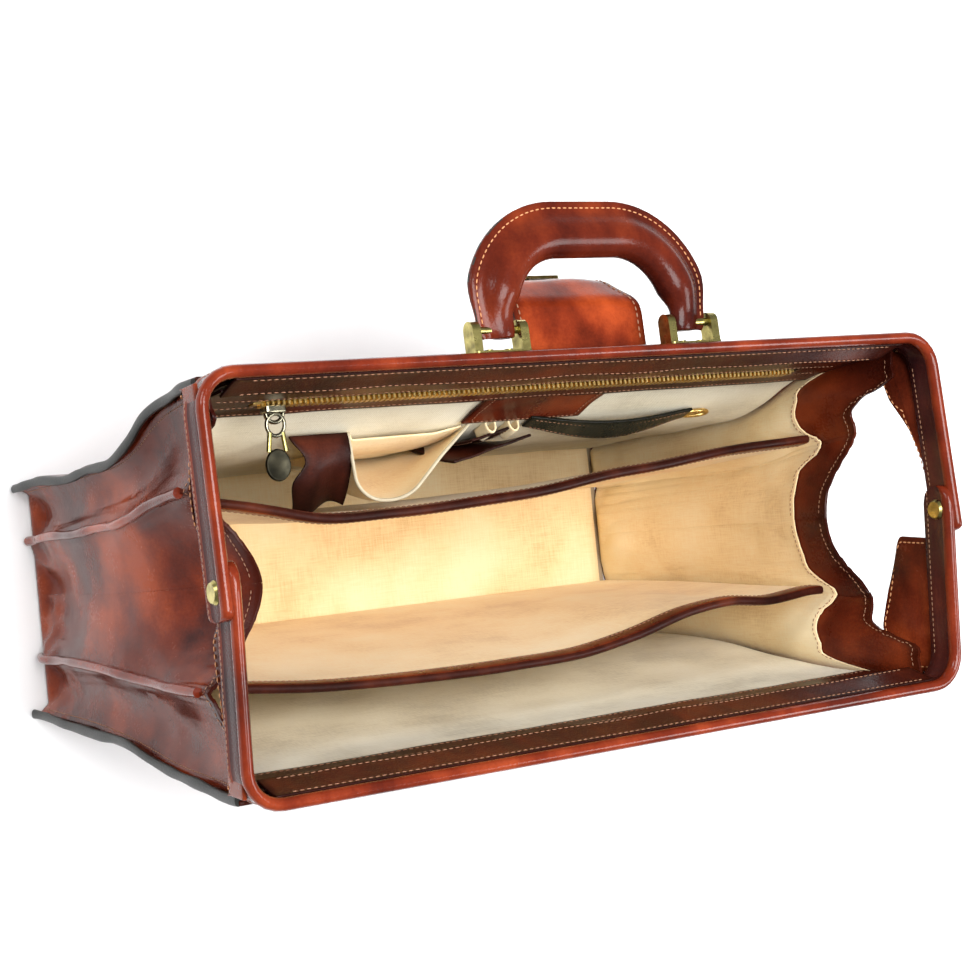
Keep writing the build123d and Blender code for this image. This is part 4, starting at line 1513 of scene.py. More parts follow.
# ---- dividers
@dataclass
class Divider(Maker):
    """A wavy canvas-covered sheet across the bag, bound with leather along its top."""

    side: Side
    crest: tuple[tuple[float, float], ...]
    left: float = -0.177
    right: float = 0.1925
    foot_y: float = 0.033
    foot_z: float = 6.9 * MM
    top_z: float = 0.226
    thickness: float = 3.4 * MM
    bind_height: float = 11 * MM

    def place(self, x: Array, s: Array) -> Array:
        """The middle of the sheet.

        Args:
            x: places along the bag.
            s: 0 at the foot and 1 at the top.

        Returns:
            Points, one to a row.
        """
        crest = smooth_curve(self.crest, x)
        y = self.side.value * self.foot_y + (crest - self.side.value * self.foot_y) * np.clip(s, 0, 1.1) ** 1.25
        y = y + 1.0 * MM * ripple(stack(x, 0 * x, 0.2 * s), 0.10, 90 + self.side.value) * s
        droop = 1.6 * MM * ripple(stack(x, 0 * x, 0 * x), 0.16, 95 + self.side.value)
        return stack(x, y, self.foot_z + (self.top_z + droop - self.foot_z) * s)

    def build(self) -> None:
        """Makes the sheet, its binding and the stitches."""
        label = self.side.name.lower()
        xs = np.linspace(self.left, self.right, 130)
        sheet = Bench.grid(f"{label}_divider_cloth", xs, np.linspace(0, 1, 70), self.place)
        Bench.thicken(sheet, self.thickness)
        body = f"{label}_divider"
        self.hand_over(sheet, body, "gold_canvas", self.finishes.sheet_canvas, replaces=[f"{label}_divider_sheet"])
        top = self.place(xs, np.ones(len(xs)))
        below = self.place(xs, np.full(len(xs), 0.95))
        up = directions_between(below, top)
        out = np.cross(directions(top), up)
        h, w = self.bind_height, self.thickness / 2 + 0.8 * MM
        profile = np.array([
            (w, -h), (w + 0.15 * MM, -0.5 * h), (w, -0.18 * h), (0.8 * w, 0.02 * h), (0.35 * w, 0.09 * h),
            (-0.35 * w, 0.09 * h), (-0.8 * w, 0.02 * h), (-w, -0.18 * h), (-w - 0.15 * MM, -0.5 * h), (-w, -h)])
        binding = Bench.sweep(f"{label}_divider_bind", top, out, up, profile)
        Bench.paint_columns(binding, 1, 3.0, 6.0)
        Bench.smooth(binding, 55)
        self.hand_over(
            binding, body, "chestnut_leather", self.finishes.inside_hide, self.finishes.dark_hide,
            replaces=[f"{label}_divider_binding"],
        )
        rows = []
        for sign in (1, -1):
            rows.append((top - up * 0.78 * h + out * sign * (w + 0.1 * MM), out * sign))
        seam = self.stitch.sew(f"{label}_divider_stitches", rows, self.finishes.dull_thread, pitch=3.2 * MM)
        self.hand_over(seam, body, "chestnut_leather")


# ---- handle and flap
@dataclass
class Handle(Maker):
    """The arched handle: a stuffed roll with a flat stitched flange round its outside."""

    hoop: Hoop
    foot: tuple[float, float] = (0.0555, 0.0085)
    shoulder: tuple[float, float] = (0.0650, 0.0600)
    bend: float = 0.0400
    profile: tuple[tuple[float, float], ...] = (
        (14.6, 0.9), (14.1, 1.75), (11.5, 1.95), (9.2, 2.15), (7.6, 2.9), (5.6, 4.3), (3.4, 6.3), (0.8, 8.1),
        (-2.2, 9.1), (-5.6, 9.15), (-8.8, 8.0), (-11.4, 5.8), (-13.0, 3.0), (-13.5, 0.0), (-13.0, -3.0),
        (-11.4, -5.8), (-8.8, -8.0), (-5.6, -9.15), (-2.2, -9.1), (0.8, -8.1), (3.4, -6.3), (5.6, -4.3),
        (7.6, -2.9), (9.2, -2.15), (11.5, -1.95), (14.1, -1.75), (14.6, -0.9))

    def build(self) -> None:
        """Makes the handle leather and its stitches."""
        (fx, fh), (sx, sh) = self.foot, self.shoulder
        flat = rounded_line([(-fx, fh, 0), (-sx, sh, self.bend), (sx, sh, self.bend), (fx, fh, 0)], 3.2 * MM)
        steps = np.array([0.0, 0.5, 1.6]) * MM
        first = np.stack([np.full(3, -fx), fh + steps], 1)
        last = np.stack([np.full(3, fx), (fh + steps)[::-1]], 1)
        flat = np.vstack([first, flat[1:-1], last])
        run = run_along(flat)
        near = np.minimum(run, run[-1] - run)
        narrow = 0.72 + 0.28 * smooth_step(10 * MM, 26 * MM, near)
        thin = 0.5 + 0.5 * smooth_step(6 * MM, 24 * MM, near)
        blunt = np.sqrt(np.clip(1 - (1 - np.clip(near / 7 / MM, 0, 1)) ** 2, 0.05, 1))
        size = np.stack([narrow * (0.72 + 0.28 * blunt), thin * (0.7 + 0.3 * blunt)], axis=1)
        out, up = self.hoop.ways(flat)
        points = self.hoop.place(flat[:, 0], self.hoop.reach + flat[:, 1], 0.0)
        handle = Bench.sweep("handle_hide", points, out, up, np.array(self.profile) * MM, size)
        Bench.paint_columns(handle, 1, 25.9, 27.1)
        Bench.paint_columns(handle, 1, -0.1, 0.6)
        Bench.smooth(handle, 70)
        self.hand_over(
            handle, "handle", "chestnut_leather", self.finishes.handle_hide, self.finishes.paint,
            replaces=["handle_cover"],
        )
        rows = []
        for sign in (1, -1):
            keep = near > 5 * MM
            spots = points + out * (11.0 * MM * size[:, :1]) + up * (sign * 1.95 * MM * size[:, 1:])
            rows.append((spots[keep], sign * up[keep]))
        seam = self.stitch.sew("handle_stitches", rows, self.finishes.thread, pitch=3.2 * MM, width=0.8 * MM)
        self.hand_over(seam, "handle", "chestnut_leather")


@dataclass
class Flap(Maker):
    """The closing flap, sewn under the back rail and bent down over it."""

    hoop: Hoop
    half: float = 0.038
    run: float = 0.045
    bend: float = 0.017
    drop: float = 0.056
    thickness: float = 3.0 * MM

    def build(self) -> None:
        """Makes the flap and its stitches."""
        start = -1.5 * MM
        top = -11.8 * MM
        line = rounded_line(
            [(start, top, 0), (0.6 * self.run, top, self.bend),
             (self.run - 1.5 * MM, top - 0.33 * self.drop, self.bend), (self.run, top - self.drop, 0)], 1.6 * MM)
        run = run_along(line)
        length = float(run[-1])

        def place(a: Array, s: Array) -> Array:
            """The sheet's outer face, rounded off at its end and slightly cupped.

            Args:
                a: -1 at one side and 1 at the other.
                s: 0 where it is sewn on and 1 at its end.

            Returns:
                Points, one to a row.
            """
            along = s * length
            left = np.clip((length - along) / 0.016, 0, 1)
            width = self.half - 0.016 * (1 - np.sqrt(np.clip(1 - (1 - left) ** 2, 0, 1)))
            width = width - 6.5 * MM * smooth_step(0.026, 0.05, along)
            u, v = np.interp(along, run, line[:, 0]), np.interp(along, run, line[:, 1])
            cup = 1.8 * MM * a**2 * smooth_step(0.2, 0.7, s) + 0.7 * MM * ripple(stack(a * 0.04, along, 0 * a), 0.06, 5)
            return self.hoop.place(a * width, self.hoop.reach + u - cup, v)

        s = 1 - (1 - np.linspace(0, 1, 80)) ** 1.25
        flap = Bench.grid("closing_flap_hide", np.linspace(-1, 1, 44), s, place)
        Bench.fade(flap, 6 * MM)
        Bench.thicken(flap, self.thickness, (0, -0.7, -0.7), inner=1, rim=2)
        limits = ("closing_flap", (0, 0.0975, 0.2885), (0, 0.1065, 0.2875))
        self.hand_over(
            flap, "back_frame", "flap_leather", self.finishes.flap_hide, self.finishes.dark_hide,
            self.finishes.paint, replaces=["flap_leather"], blend=limits,
        )
        2 * self.half
        rows = []
        span = np.linspace(0.1, 0.965, 70)
        for sign in (-1, 1):
            spots = place(np.full(70, sign * 0.915), span)
            ahead = directions(spots)
            way = np.cross(np.tile([1.0, 0, 0], (70, 1)), ahead)
            way *= np.sign((way @ np.array([0, 0.6, 0.8])).sum() or 1)
            rows.append((spots + way * 0.1 * MM, way))
        seam = self.stitch.sew("closing_flap_stitches", rows, self.finishes.dull_thread)
        self.hand_over(seam, "back_frame", "flap_leather", blend=limits)


# ---- zip
@dataclass
class Zip(Maker):
    """The stitched facing under the back rail, with a zip in its window."""

    wall: Wall
    facing_low: float = 0.2225
    facing_high: float = 0.2885
    half: float = 0.1955
    window_half: float = 0.1647
    window_low: float = 0.2452
    window_high: float = 0.2548
    tooth_pitch: float = 2.8 * MM

    def build(self) -> None:
        """Makes the tape, the teeth, the facing, the slider and the pull."""
        self.tape()
        self.teeth()
        self.facing()
        self.slider()
        self.pull()

    def tape(self) -> None:
        """The woven tape behind the window."""
        tape = Bench.grid(
            "zip_tape_cloth", np.linspace(-0.1715, 0.1715, 90), np.linspace(0.2412, 0.2588, 9),
            lambda x, z: self.wall.point(x, z, 5.2 * MM),
        )
        Bench.thicken(tape, 0.6 * MM, (0, -1, 0))
        self.hand_over(tape, "back_panel", "tape", self.finishes.tape, replaces=["zip_tape"])

    def teeth(self) -> None:
        """Two rows of teeth that mesh, from one tooth."""
        Bench.clear()
        bpy.ops.mesh.primitive_cube_add(size=1)
        tooth = Bench.named("tooth_pattern")
        Bench.edit(tooth, lambda: bpy.ops.transform.resize(value=(1.65 * MM, 2.8 * MM, 4.8 * MM)))
        Bench.edit(tooth, lambda: bpy.ops.mesh.bevel(offset=0.28 * MM, segments=1, affect="EDGES"))
        corners = np.array([v.co for v in tooth.data.vertices])
        faces = [tuple(p.vertices) for p in tooth.data.polygons]
        bpy.data.objects.remove(tooth)
        middle = (self.window_low + self.window_high) / 2
        points, all_faces = [], []
        count = int(0.3194 / self.tooth_pitch)
        start = self.wall.point(0.0, middle, 7.7 * MM)
        upward = directions_between(self.wall.point(0.0, middle - MM, 0.0), self.wall.point(0.0, middle + MM, 0.0))
        away = self.wall.inward(middle)
        axes = np.stack([np.array([1.0, 0, 0]), away.reshape(3), upward.reshape(3)])
        for row in (-1, 1):
            for k in range(count):
                x = -0.1597 + (k + 0.5 + 0.25 * row) * self.tooth_pitch
                spot = start.reshape(3) + np.array([x, 0, 0]) + upward.reshape(3) * row * 1.5 * MM
                all_faces.extend(tuple(v + len(points) * len(corners) for v in f) for f in faces)
                points.append(spot + corners @ axes)
        mesh = bpy.data.meshes.new("zip_teeth_rows")
        mesh.from_pydata(np.concatenate(points).tolist(), [], all_faces)
        rows = bpy.data.objects.new("zip_teeth_rows", mesh)
        bpy.context.scene.collection.objects.link(rows)
        self.hand_over(rows, "back_panel", "zip_brass", self.finishes.teeth, replaces=["zip_teeth"])

    def facing(self) -> None:
        """The leather facing with its window and its rows of stitches."""
        sides = [-self.window_half, self.window_half]
        xs = np.unique(np.concatenate([np.linspace(-self.half, self.half, 130), sides]))
        window = [self.window_low, self.window_high]
        zs = np.unique(np.concatenate([np.linspace(self.facing_low, self.facing_high, 30), window]))

        def place(x: Array, z: Array) -> Array:
            """The facing's own face, with a slightly scalloped lower edge.

            Args:
                x: places along the bag.
                z: heights.

            Returns:
                Points, one to a row.
            """
            low = smooth_step(self.facing_low + 8 * MM, self.facing_low, z)
            wave = 0.8 * MM * ripple(stack(x, 0 * x, 0 * x), 0.09, 7) * low
            return self.wall.point(x, z + wave, 5.95 * MM + 0.25 * MM * ripple(stack(x, 0 * x, z), 0.05, 8))

        facing = Bench.grid("zip_facing_hide", xs, zs, place)
        across, along, cut = Bench.read(facing, "across"), Bench.read(facing, "along"), []
        for face in facing.data.polygons:
            x = float(np.mean([across[v] for v in face.vertices]))
            z = float(np.mean([along[v] for v in face.vertices]))
            if abs(x) < self.window_half and self.window_low < z < self.window_high:
                cut.append(face.index)
        Bench.cut_out(facing, cut)
        Bench.fade(facing, 3 * MM)
        Bench.thicken(facing, 1.2 * MM, (0, -1, 0), rim=1)
        self.hand_over(
            facing, "back_panel", "dark_leather", self.finishes.facing_hide, self.finishes.paint,
            replaces=["zip_facing"],
        )
        rows = []
        x = np.linspace(-0.186, 0.186, 150)
        for z in (0.2790, 0.2590, 0.2410, 0.2262):
            way = np.tile(self.wall.inward(z).reshape(1, 3), (150, 1))
            rows.append((place(x, np.full(150, z)) + way * 1.25 * MM, way))
        seam = self.stitch.sew("zip_facing_stitches", rows, self.finishes.dull_thread, pitch=3 * MM, width=0.7 * MM)
        self.hand_over(seam, "back_panel", "dark_leather")

    def slider(self) -> None:
        """The slider's body, waisted and bevelled, with the bridge that holds the pull."""
        box_low, box_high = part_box("zip_slider")
        middle = (np.array(box_low) + np.array(box_high)) / 2
        y_back = float(box_high[1]) - 2.0 * MM
        Bench.clear()
        bpy.ops.mesh.primitive_cube_add(size=1)
        body = Bench.named("zip_slider_body")
        Bench.edit(
            body,
            lambda: bpy.ops.mesh.subdivide(number_cuts=3),
            lambda: bpy.ops.transform.resize(value=(11.0 * MM, 4.6 * MM, 7.4 * MM)),
        )
        co = np.array([v.co for v in body.data.vertices])
        waist = 1 - 0.28 * smooth_step(-0.004, 0.006, co[:, 0]) * 1.0
        co[:, 2] *= waist
        co += np.array([middle[0] - 5 * MM, y_back - 2.1 * MM, middle[2]])
        body.data.vertices.foreach_set("co", co.astype(np.float32).ravel())
        Bench.apply(body, "BEVEL", width=0.9 * MM, segments=3, limit_method="ANGLE", angle_limit=0.9)
        Bench.smooth(body)
        self.hand_over(body, "zip_slider", "dark_metal", self.finishes.nickel, replaces=["zip_slider"])
        turn = np.linspace(0, np.pi, 15)
        line = stack(
            middle[0] - 5 * MM - 4.5 * MM * np.cos(turn), y_back - 4.0 * MM - 4.6 * MM * np.sin(turn),
            middle[2] + 0 * turn)
        self.rod("zip_slider_bridge", line, (0, 0, 1), 1.0 * MM, 1.5 * MM, self.finishes.nickel, "zip_slider")

    def pull(self) -> None:
        """The pull: an oval ring, two bars and an oval plate with a sunken middle."""
        px, py, pz = -0.1527, 0.0764401, 0.2501549
        turn = np.linspace(0, 2 * np.pi, 33)
        rise = np.sin(turn)
        ring = stack(px + 4.6 * MM * np.cos(turn), py - 3.4 * MM + 5.2 * MM * rise, pz + 0.3 * MM * rise)
        self.rod("zip_pull_ring", ring, (0, 0, 1), 0.95 * MM, 0.95 * MM, self.finishes.nickel, "zip_pull", True)
        for sign in (-1, 1):
            s = np.linspace(0, 1, 8)
            bar = stack(px + sign * (3.3 + 1.2 * s) * MM, py - (7.0 + 9.0 * s) * MM, pz - 0.4 * MM * s)
            self.rod(f"zip_pull_bar_{sign + 2}", bar, (0, 0, 1), 1.25 * MM, 1.0 * MM, self.finishes.brass, "zip_pull")
        Bench.clear()
        bpy.ops.mesh.primitive_circle_add(vertices=40, fill_type="NGON")
        plate = Bench.named("zip_pull_plate")
        a = np.linspace(0, 2 * np.pi, 41)[:-1]
        spots = stack(px + 6.4 * MM * np.cos(a), py - 22.3 * MM + 7.6 * MM * np.sin(a), pz - 0.6 * MM + 0 * a)
        plate.data.vertices.foreach_set("co", spots.astype(np.float32).ravel())
        Bench.edit(
            plate,
            lambda: bpy.ops.mesh.inset(thickness=1.5 * MM),
            lambda: bpy.ops.transform.translate(value=(0, 0, -0.5 * MM)),
        )
        Bench.thicken(plate, 1.8 * MM, None)
        self.hand_over(plate, "zip_pull", "dark_metal", self.finishes.black_metal, replaces=["zip_pull"])


# ---- things sewn to the back wall
@dataclass
class Organiser(Maker):
    """Pockets, loops, a patch and a key strap on the back wall's canvas."""

    wall: Wall
    skin: float = 5.4 * MM

    def build(self) -> None:
        """Makes every piece of it."""
        self.phone_pocket()
        self.dark_flap()
        card = self.flat("card_pocket_hide", (-0.028, 0.024), (0.1455, 0.1905), self.finishes.dark_hide,
                         "dark_leather", ["card_pocket"], (20 * MM, 8 * MM), 1.6 * MM, 16)
        card += self.flat("card_pocket_back", (-0.0145, 0.012), (0.152, 0.1915), self.finishes.dark_hide,
                          "dark_leather", [], (9 * MM, 3 * MM), 1.4 * MM, 19)
        for piece in card:
            self.soften(piece)
        self.flat("leather_patch_hide", (-0.020, 0.055), (0.1935, 0.2265), self.finishes.inside_hide,
                  "chestnut_leather", ["leather_patch"], (0.0, 0.0), 1.6 * MM, 17)
        for k, x in enumerate((-0.001, 0.0135)):
            self.loop(k, x)
        self.strap()
        self.ring()

    def soften(self, piece: Any) -> None:
        """Gives a piece its own copy of its mesh."""
        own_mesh(piece)

    def phone_pocket(self) -> None:
        """The gaping pocket: a front and a back layer of cloth, and a corded mouth."""
        mouths = {
            "phone_pocket_cloth": ([(-0.0868, 0.001, 0), (-0.0905, 0.038, 0.013), (-0.064, 0.0415, 0.03),
                                    (-0.036, 0.0175, 0.05), (-0.0142, 0.001, 0)], 0.1925),
            "phone_pocket_back": ([(-0.0845, 0.001, 0), (-0.0846, 0.0045, 0.002), (-0.034, 0.004, 0.003),
                                   (-0.017, 0.001, 0)], 0.1895),
        }
        for name, (outline, high) in mouths.items():
            mouth = rounded_line(outline, 1.5 * MM)
            share = run_along(mouth) / run_along(mouth)[-1]
            low, left, right = 0.0925, -0.0845, -0.0165

            def place(a: Array, s: Array) -> Array:
                """The pocket's cloth, flat at its foot and open at its mouth.

                Args:
                    a: 0 at the left side and 1 at the right.
                    s: 0 at the foot and 1 at the mouth.

                Returns:
                    Points, one to a row.
                """
                open_ = s**1.25
                x = (left + (right - left) * a) * (1 - open_) + np.interp(a, share, mouth[:, 0]) * open_
                off = 1.2 * MM * np.sin(np.pi * a) ** 0.4 * (1 - open_) + np.interp(a, share, mouth[:, 1]) * open_
                inner = np.sin(np.pi * a) * np.sin(np.pi * s)
                wave = 0.7 * MM * ripple(stack(a * 0.08, s * 0.1, 0 * s), 0.04, 18) * inner
                return self.wall.point(x, low + (high - low) * s, self.skin + np.maximum(off + wave, 0))

            cloth = Bench.grid(name, np.linspace(0, 1, 60), np.linspace(0, 1, 44), place)
            Bench.thicken(cloth, 1.0 * MM, (0, 1, 0), inner=1)
            replaced = ["phone_pocket"] if name.endswith("cloth") else []
            self.hand_over(
                cloth, "back_panel", "canvas", self.finishes.sheet_canvas, self.finishes.sheet_canvas,
                replaces=replaced,
            )
            self.soften(cloth)
            if replaced:
                points = place(np.linspace(0, 1, 70), np.ones(70))
                up = np.tile([0.0, 0.0, 1.0], (len(points), 1))
                turn = np.linspace(0, 2 * np.pi, 11)[:-1]
                profile = np.stack([0.95 * MM * np.cos(turn), 1.2 * MM * np.sin(turn)], axis=1)
                cord = Bench.sweep("phone_pocket_edging", points, np.cross(directions(points), up), up, profile)
                Bench.smooth(cord, 80)
                self.hand_over(cord, "back_panel", "canvas", self.finishes.pale_edge)
                self.soften(cord)

    def dark_flap(self) -> None:
        """The limp dark flap beside the pocket, which curls away from the wall."""
        def place(a: Array, s: Array) -> Array:
            """The flap's back.

            Args:
                a: 0 at its left and 1 at its right.
                s: 0 at its seam and 1 at its end.

            Returns:
                Points, one to a row.
            """
            edge = smooth_curve(((0, -0.1215), (0.35, -0.1145), (0.62, -0.1205), (1, -0.1175)), s)
            x = edge + (-0.0885 - edge) * a
            off = 2 * MM + 32 * MM * s**0.8 + 3.0 * MM * np.sin(2 * np.pi * a) * s
            return self.wall.point(x, 0.1950 - 17 * MM * s**2 - 2 * MM * s, self.skin + off)

        flap = Bench.grid("pocket_flap_hide", np.linspace(0, 1, 26), np.linspace(0, 1, 30), place)
        Bench.fade(flap, 4 * MM)
        Bench.thicken(flap, 1.3 * MM, (0, 0, -1), rim=1)
        self.hand_over(
            flap, "back_panel", "dark_leather", self.finishes.dark_hide, self.finishes.paint,
            replaces=["pocket_flap"],
        )
        self.soften(flap)

    def flat(
        self, name: str, x: tuple[float, float], z: tuple[float, float], finish: Any, slot: str,
        replaced: Sequence[str], swell: tuple[float, float], thickness: float, seed: int,
    ) -> tuple[Any, Any]:
        """A stitched piece of leather on the wall.

        Args:
            name: its name.
            x: its left and right.
            z: its bottom and top.
            finish: its leather.
            slot: the slot name handed on to hand_over.
            replaced: the nodes that it stands for.
            swell: how far its top stands off the wall at its left and right.
            thickness: how thick it is.
            seed: chooses its waves.

        Returns:
            The piece and its stitches.
        """
        def place(a: Array, s: Array) -> Array:
            """The piece's back.

            Args:
                a: 0 at its left and 1 at its right.
                s: 0 at its foot and 1 at its top.

            Returns:
                Points, one to a row.
            """
            bulge = (swell[0] + (swell[1] - swell[0]) * a) * s**1.3
            wave = 0.35 * MM * (1 + ripple(stack(a * 0.05, 0 * a, s * 0.04), 0.03, seed)) * s
            return self.wall.point(x[0] + (x[1] - x[0]) * a, z[0] + (z[1] - z[0]) * s, self.skin + bulge + wave)

        piece = Bench.grid(name, np.linspace(0, 1, 26), np.linspace(0, 1, 26), place)
        Bench.fade(piece, 4 * MM)
        Bench.thicken(piece, thickness, (0, -1, 0), rim=1)
        self.hand_over(piece, "back_panel", slot, finish, self.finishes.paint, replaces=replaced)
        around = [(0.06, 0.94), (0.06, 0.07), (0.94, 0.07), (0.94, 0.94)]
        route = rounded_line([(a, s, 0.04 if 0 < k < 3 else 0) for k, (a, s) in enumerate(around)], 0.03)
        way = np.tile([0.0, -1.0, 0.2], (len(route), 1))
        spots = place(route[:, 0], route[:, 1]) + way * (thickness + 0.1 * MM)
        seam = self.stitch.sew(
            f"{name}_stitches", [(spots, way)], self.finishes.dull_thread, pitch=2.8 * MM, width=0.7 * MM)
        self.hand_over(seam, "back_panel", slot)
        return piece, seam

    def loop(self, number: int, x: float) -> None:
        """A pen loop: a short band that stands off the wall.

        Args:
            number: counts the loops from 0.
            x: its middle along the bag.
        """
        low, high, half = 0.1815, 0.1925, 2.9 * MM

        def place(a: Array, s: Array) -> Array:
            """The band.

            Args:
                a: 0 and 1 where it meets the wall.
                s: 0 at its foot and 1 at its top.

            Returns:
                Points, one to a row.
            """
            turn = np.pi * a
            out = np.sin(turn) ** 0.8 * 6.0 * MM
            across = x - half * np.cos(turn) * (1 + 0.1 * np.sin(turn))
            return self.wall.point(across, low + (high - low) * s, self.skin + 0.4 * MM + out)

        band = Bench.grid(f"pen_loop_{number + 1}", np.linspace(0, 1, 30), np.linspace(0, 1, 9), place)
        Bench.thicken(band, 1.1 * MM, None, rim=1)
        self.hand_over(
            band, "back_panel", "canvas", self.finishes.sheet_canvas, self.finishes.wall_canvas,
            replaces=["pen_loops"],
        )

    def strap(self) -> None:
        """The key strap, sewn at its ends and sagging between them."""
        start, end, z, sag, width = 0.022, 0.134, 0.1925, 0.0025, 0.0105

        def place(s: Array, a: Array) -> Array:
            """The strap's back.

            Args:
                s: 0 at its start and 1 at its end.
                a: 0 at its lower edge and 1 at its upper one.

            Returns:
                Points, one to a row.
            """
            hang = sag * 4 * s * (1 - s)
            off = self.skin + 1.0 * MM + (6.5 + 5.0 * (0.5 - a)) * MM * np.sin(np.pi * s) ** 1.2
            return self.wall.point(start + (end - start) * s, z - 4 * MM * s - hang + width * (a - 0.5), off)

        band = Bench.grid("key_strap_hide", np.linspace(0, 1, 50), np.linspace(0, 1, 7), place)
        Bench.fade(band, 2.5 * MM)
        Bench.thicken(band, 1.8 * MM, (0, -1, 0), rim=1)
        self.hand_over(
            band, "back_panel", "dark_leather", self.finishes.strap_hide, self.finishes.paint,
            replaces=["key_strap"],
        )
        s = np.linspace(0.03, 0.97, 60)
        way = np.tile([0.0, -1.0, 0.1], (60, 1))
        rows = [(place(s, np.full(60, a)) + way * 1.85 * MM, way) for a in (0.16, 0.84)]
        seam = self.stitch.sew("key_strap_stitches", rows, self.finishes.dull_thread, pitch=2.8 * MM, width=0.6 * MM)
        self.hand_over(seam, "back_panel", "dark_leather")

    def ring(self) -> None:
        """The long metal ring at the strap's far end."""
        turn = np.linspace(0, 2 * np.pi, 41)
        x, z = 0.1405, 0.1870
        line = self.wall.point(x + 8.5 * MM * np.cos(turn), z + 3.6 * MM * np.sin(turn), self.skin + 1.8 * MM)
        self.rod("key_ring", line, self.wall.inward(z).reshape(3), 1.2 * MM, 1.2 * MM, self.finishes.teeth,
                 "back_panel", True, "antique_brass", ["key_hook"])


@dataclass
class FrontFacing(Maker):
    """The dark strip sewn inside the front wall's top."""

    wall: Wall

    def build(self) -> None:
        """Makes the strip and its stitches."""
        def place(x: Array, z: Array) -> Array:
            """The strip's back."""
            return self.wall.point(x, z, 5.3 * MM + 0.2 * MM * ripple(stack(x, 0 * x, z), 0.05, 9))

        strip = Bench.grid("front_facing_hide", np.linspace(-0.19, 0.19, 110), np.linspace(0.2545, 0.2885, 16), place)
        Bench.fade(strip, 4 * MM)
        Bench.thicken(strip, 1.3 * MM, (0, 1, 0), rim=1)
        self.hand_over(
            strip, "front_panel", "dark_leather", self.finishes.facing_hide, self.finishes.paint,
            replaces=["front_facing"],
        )
        x = np.linspace(-0.186, 0.186, 120)
        way = np.tile([0.0, 1.0, 0.1], (120, 1))
        rows = [(place(x, np.full(120, z)) + way * 1.35 * MM, way) for z in (0.2585, 0.272)]
        seam = self.stitch.sew("front_facing_stitches", rows, self.finishes.dull_thread, width=0.7 * MM)
        self.hand_over(seam, "front_panel", "dark_leather")


# ---- what stays from the frame
def dress_nodes(nodes: dict, finishes: Finishes) -> None:
    """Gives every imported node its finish.

    Args:
        nodes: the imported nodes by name.
        finishes: the materials.
    """
    chosen = {
        "back_frame_bar": finishes.steel, "front_frame_bar": finishes.steel, "base_board": finishes.board,
        "frame_rivets": finishes.brass, "handle_brackets": finishes.brass, "handle_pins": finishes.brass,
        "bracket_screws": finishes.brass, "handle_core": finishes.core, "key_hook": finishes.teeth,
        "flap_hasp": finishes.brass, "hasp_rivets": finishes.brass, "lock_case": finishes.brass,
        "zip_stops": finishes.teeth,
    }
    for name, node in nodes.items():
        finish = chosen.get(name, finishes.hide)
        if not node.material_slots:
            node.data.materials.append(finish)
        for place in node.material_slots:
            place.material = finish
        LOG.info("%s wears %s", name, finish.name)


# ---- studio
@dataclass
class Studio:
    """A white floor, soft lights and the camera."""

    eye: tuple[float, float, float] = (-0.5305, 0.02466, 1.05635)
    right: tuple[float, float, float] = (0.85162, -0.09774, 0.51497)
    up: tuple[float, float, float] = (0.07732, 0.99514, 0.06101)
    lens: float = 70.2

    def build(self) -> None:
        """Sets the floor, the lights and the camera."""
        Bench.clear()
        bpy.ops.mesh.primitive_plane_add(size=12.0, location=(0, 0, -0.5 * MM))
        floor = Bench.named("studio_floor")
        white = Plain("studio_paper", (0.88, 0.88, 0.88), (0.93, 0.93, 0.93), 0.9, speck=0.02, height=0.00001).make()
        floor.data.materials.append(white)
        floor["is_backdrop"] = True
        self.lamp("top_light", (-0.25, 0.15, 2.1), (0, 0, 0.15), 1.1, 60)
        self.lamp("side_light", (-1.7, 1.2, 1.3), (0, 0, 0.2), 0.7, 19)
        self.lamp("far_light", (1.5, -0.6, 1.9), (0, 0, 0.15), 0.9, 30)
        world = bpy.data.worlds.new("studio_air")
        bpy.context.scene.world = world
        world.use_nodes = True
        world.node_tree.nodes["Background"].inputs["Color"].default_value = (0.93, 0.96, 1.0, 1.0)
        world.node_tree.nodes["Background"].inputs["Strength"].default_value = 0.3
        self.camera()
        bpy.context.scene.view_settings.view_transform = "Standard"
        bpy.context.scene.view_settings.look = "None"

    def lamp(self, name: str, place: Sequence[float], target: Sequence[float], size: float, watts: float) -> None:
        """A soft square lamp that faces a target.

        Args:
            name: its name.
            place: where it stands.
            target: what it faces.
            size: its side.
            watts: its power.
        """
        Bench.clear()
        bpy.ops.object.light_add(type="AREA", location=place)
        lamp = bpy.context.object
        lamp.name = name
        lamp.rotation_euler = (Vector(target) - Vector(place)).to_track_quat("-Z", "Y").to_euler()
        lamp.data.size = size
        lamp.data.energy = watts

    def camera(self) -> None:
        """The camera, turned by its own axes."""
        Bench.clear()
        bpy.ops.object.camera_add(location=self.eye)
        camera = bpy.context.object
        right, up = Vector(self.right).normalized(), Vector(self.up).normalized()
        back = right.cross(up).normalized()
        turned = Matrix((right, up, back)).transposed().to_4x4()
        camera.matrix_world = Matrix.Translation(self.eye) @ turned
        camera.data.lens = self.lens
        camera.data.sensor_width = 36.0
        camera.data.clip_end = 50.0
        bpy.context.scene.camera = camera


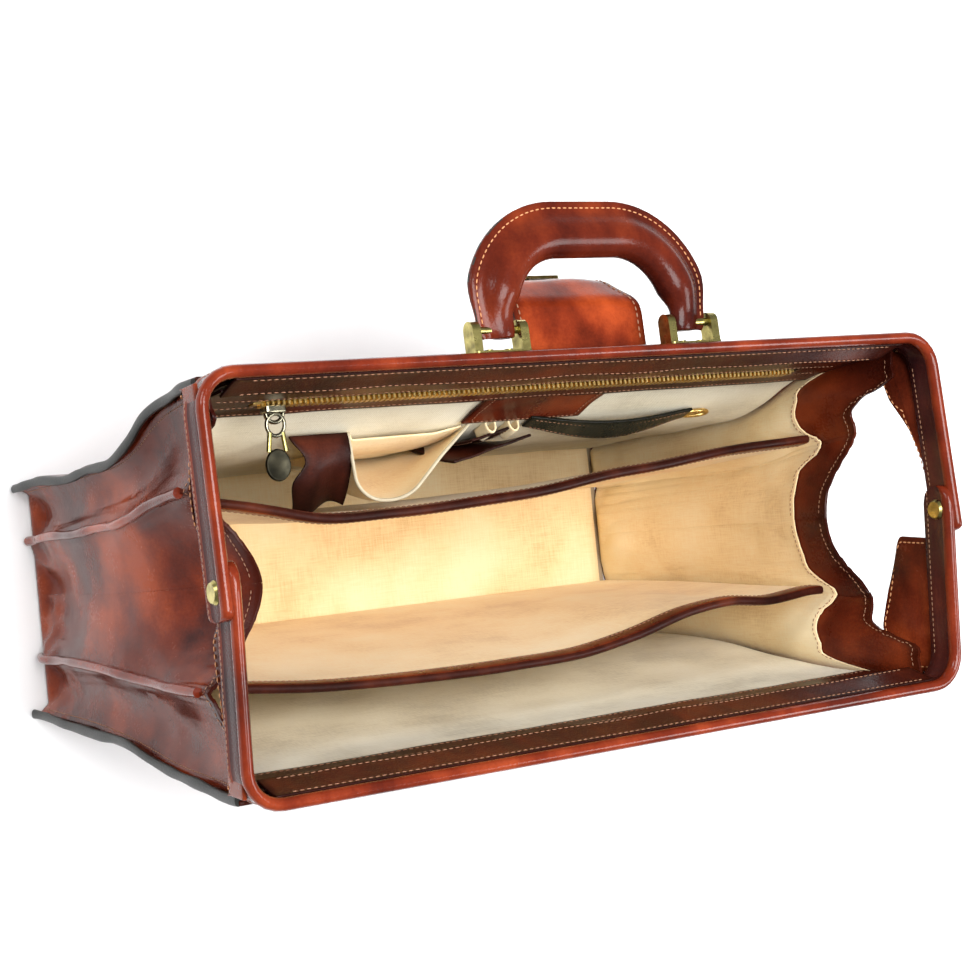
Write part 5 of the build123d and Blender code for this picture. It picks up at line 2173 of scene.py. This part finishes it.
def build_bag() -> None:
    """Builds the whole bag and its studio."""
    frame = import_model()
    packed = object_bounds()
    Bench.clear()
    finishes, stitch = Finishes(), Stitch()
    kit = {"finishes": finishes, "stitch": stitch}
    dress_nodes(frame["nodes"], finishes)
    back_hoop = Hoop(**kit, side=Side.BACK, leg_x=0.215, tip=3.5 * MM)
    front_hoop = Hoop(**kit, side=Side.FRONT, leg_x=0.2105)
    makers = [
        Base(**kit),
        Panel(**kit, wall=BACK_WALL, body="back_panel"),
        Panel(**kit, wall=FRONT_WALL, body="front_panel", canvas_top=0.258),
        Gusset(
            **kit, end=End.LEFT,
            middle_depth=((0.003, 0.0045), (0.03, 0.0085), (0.07, 0.0065), (0.15, 0.006), (0.19, 0.012),
                          (0.215, 0.0245), (0.24, 0.039)),
            free_edge=((0.0, 0.240), (0.18, 0.2405), (0.31, 0.2435), (0.45, 0.252), (0.57, 0.2585), (0.68, 0.263),
                       (0.76, 0.2765), (0.80, 0.2885), (0.88, 0.2892), (1.0, 0.2892)),
        ),
        Gusset(**kit, end=End.RIGHT),
        back_hoop,
        front_hoop,
        Divider(
            **kit, side=Side.BACK, crest=((-0.186, 0.040), (-0.146, 0.033), (-0.118, 0.0275), (-0.081, 0.0265),
            (-0.052, 0.027), (0.015, 0.031), (0.074, 0.037), (0.109, 0.0415), (0.152, 0.045), (0.186, 0.0455))),
        Divider(
            **kit, side=Side.FRONT, crest=((-0.186, -0.048), (-0.128, -0.0545), (-0.090, -0.0565),
            (-0.02, -0.0575), (0.03, -0.0565), (0.057, -0.052), (0.099, -0.042), (0.127, -0.0405),
            (0.155, -0.0440), (0.186, -0.0415))),
        Handle(**kit, hoop=back_hoop),
        Flap(**kit, hoop=back_hoop),
        Zip(**kit, wall=BACK_WALL),
        Organiser(**kit, wall=BACK_WALL),
        FrontFacing(**kit, wall=FRONT_WALL),
        Studio(),
    ]
    for maker in makers:
        maker.build()
        LOG.info("%s done", type(maker).__name__)
    {"cad": corners(packed), "visual": corners(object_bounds())}


def corners(box: Any) -> list:
    """A box as plain lists of numbers."""
    return [[float(value) for value in corner] for corner in box]


if __name__ == "__main__":
    logging.basicConfig(level=logging.INFO, format="%(message)s")
    build_bag()
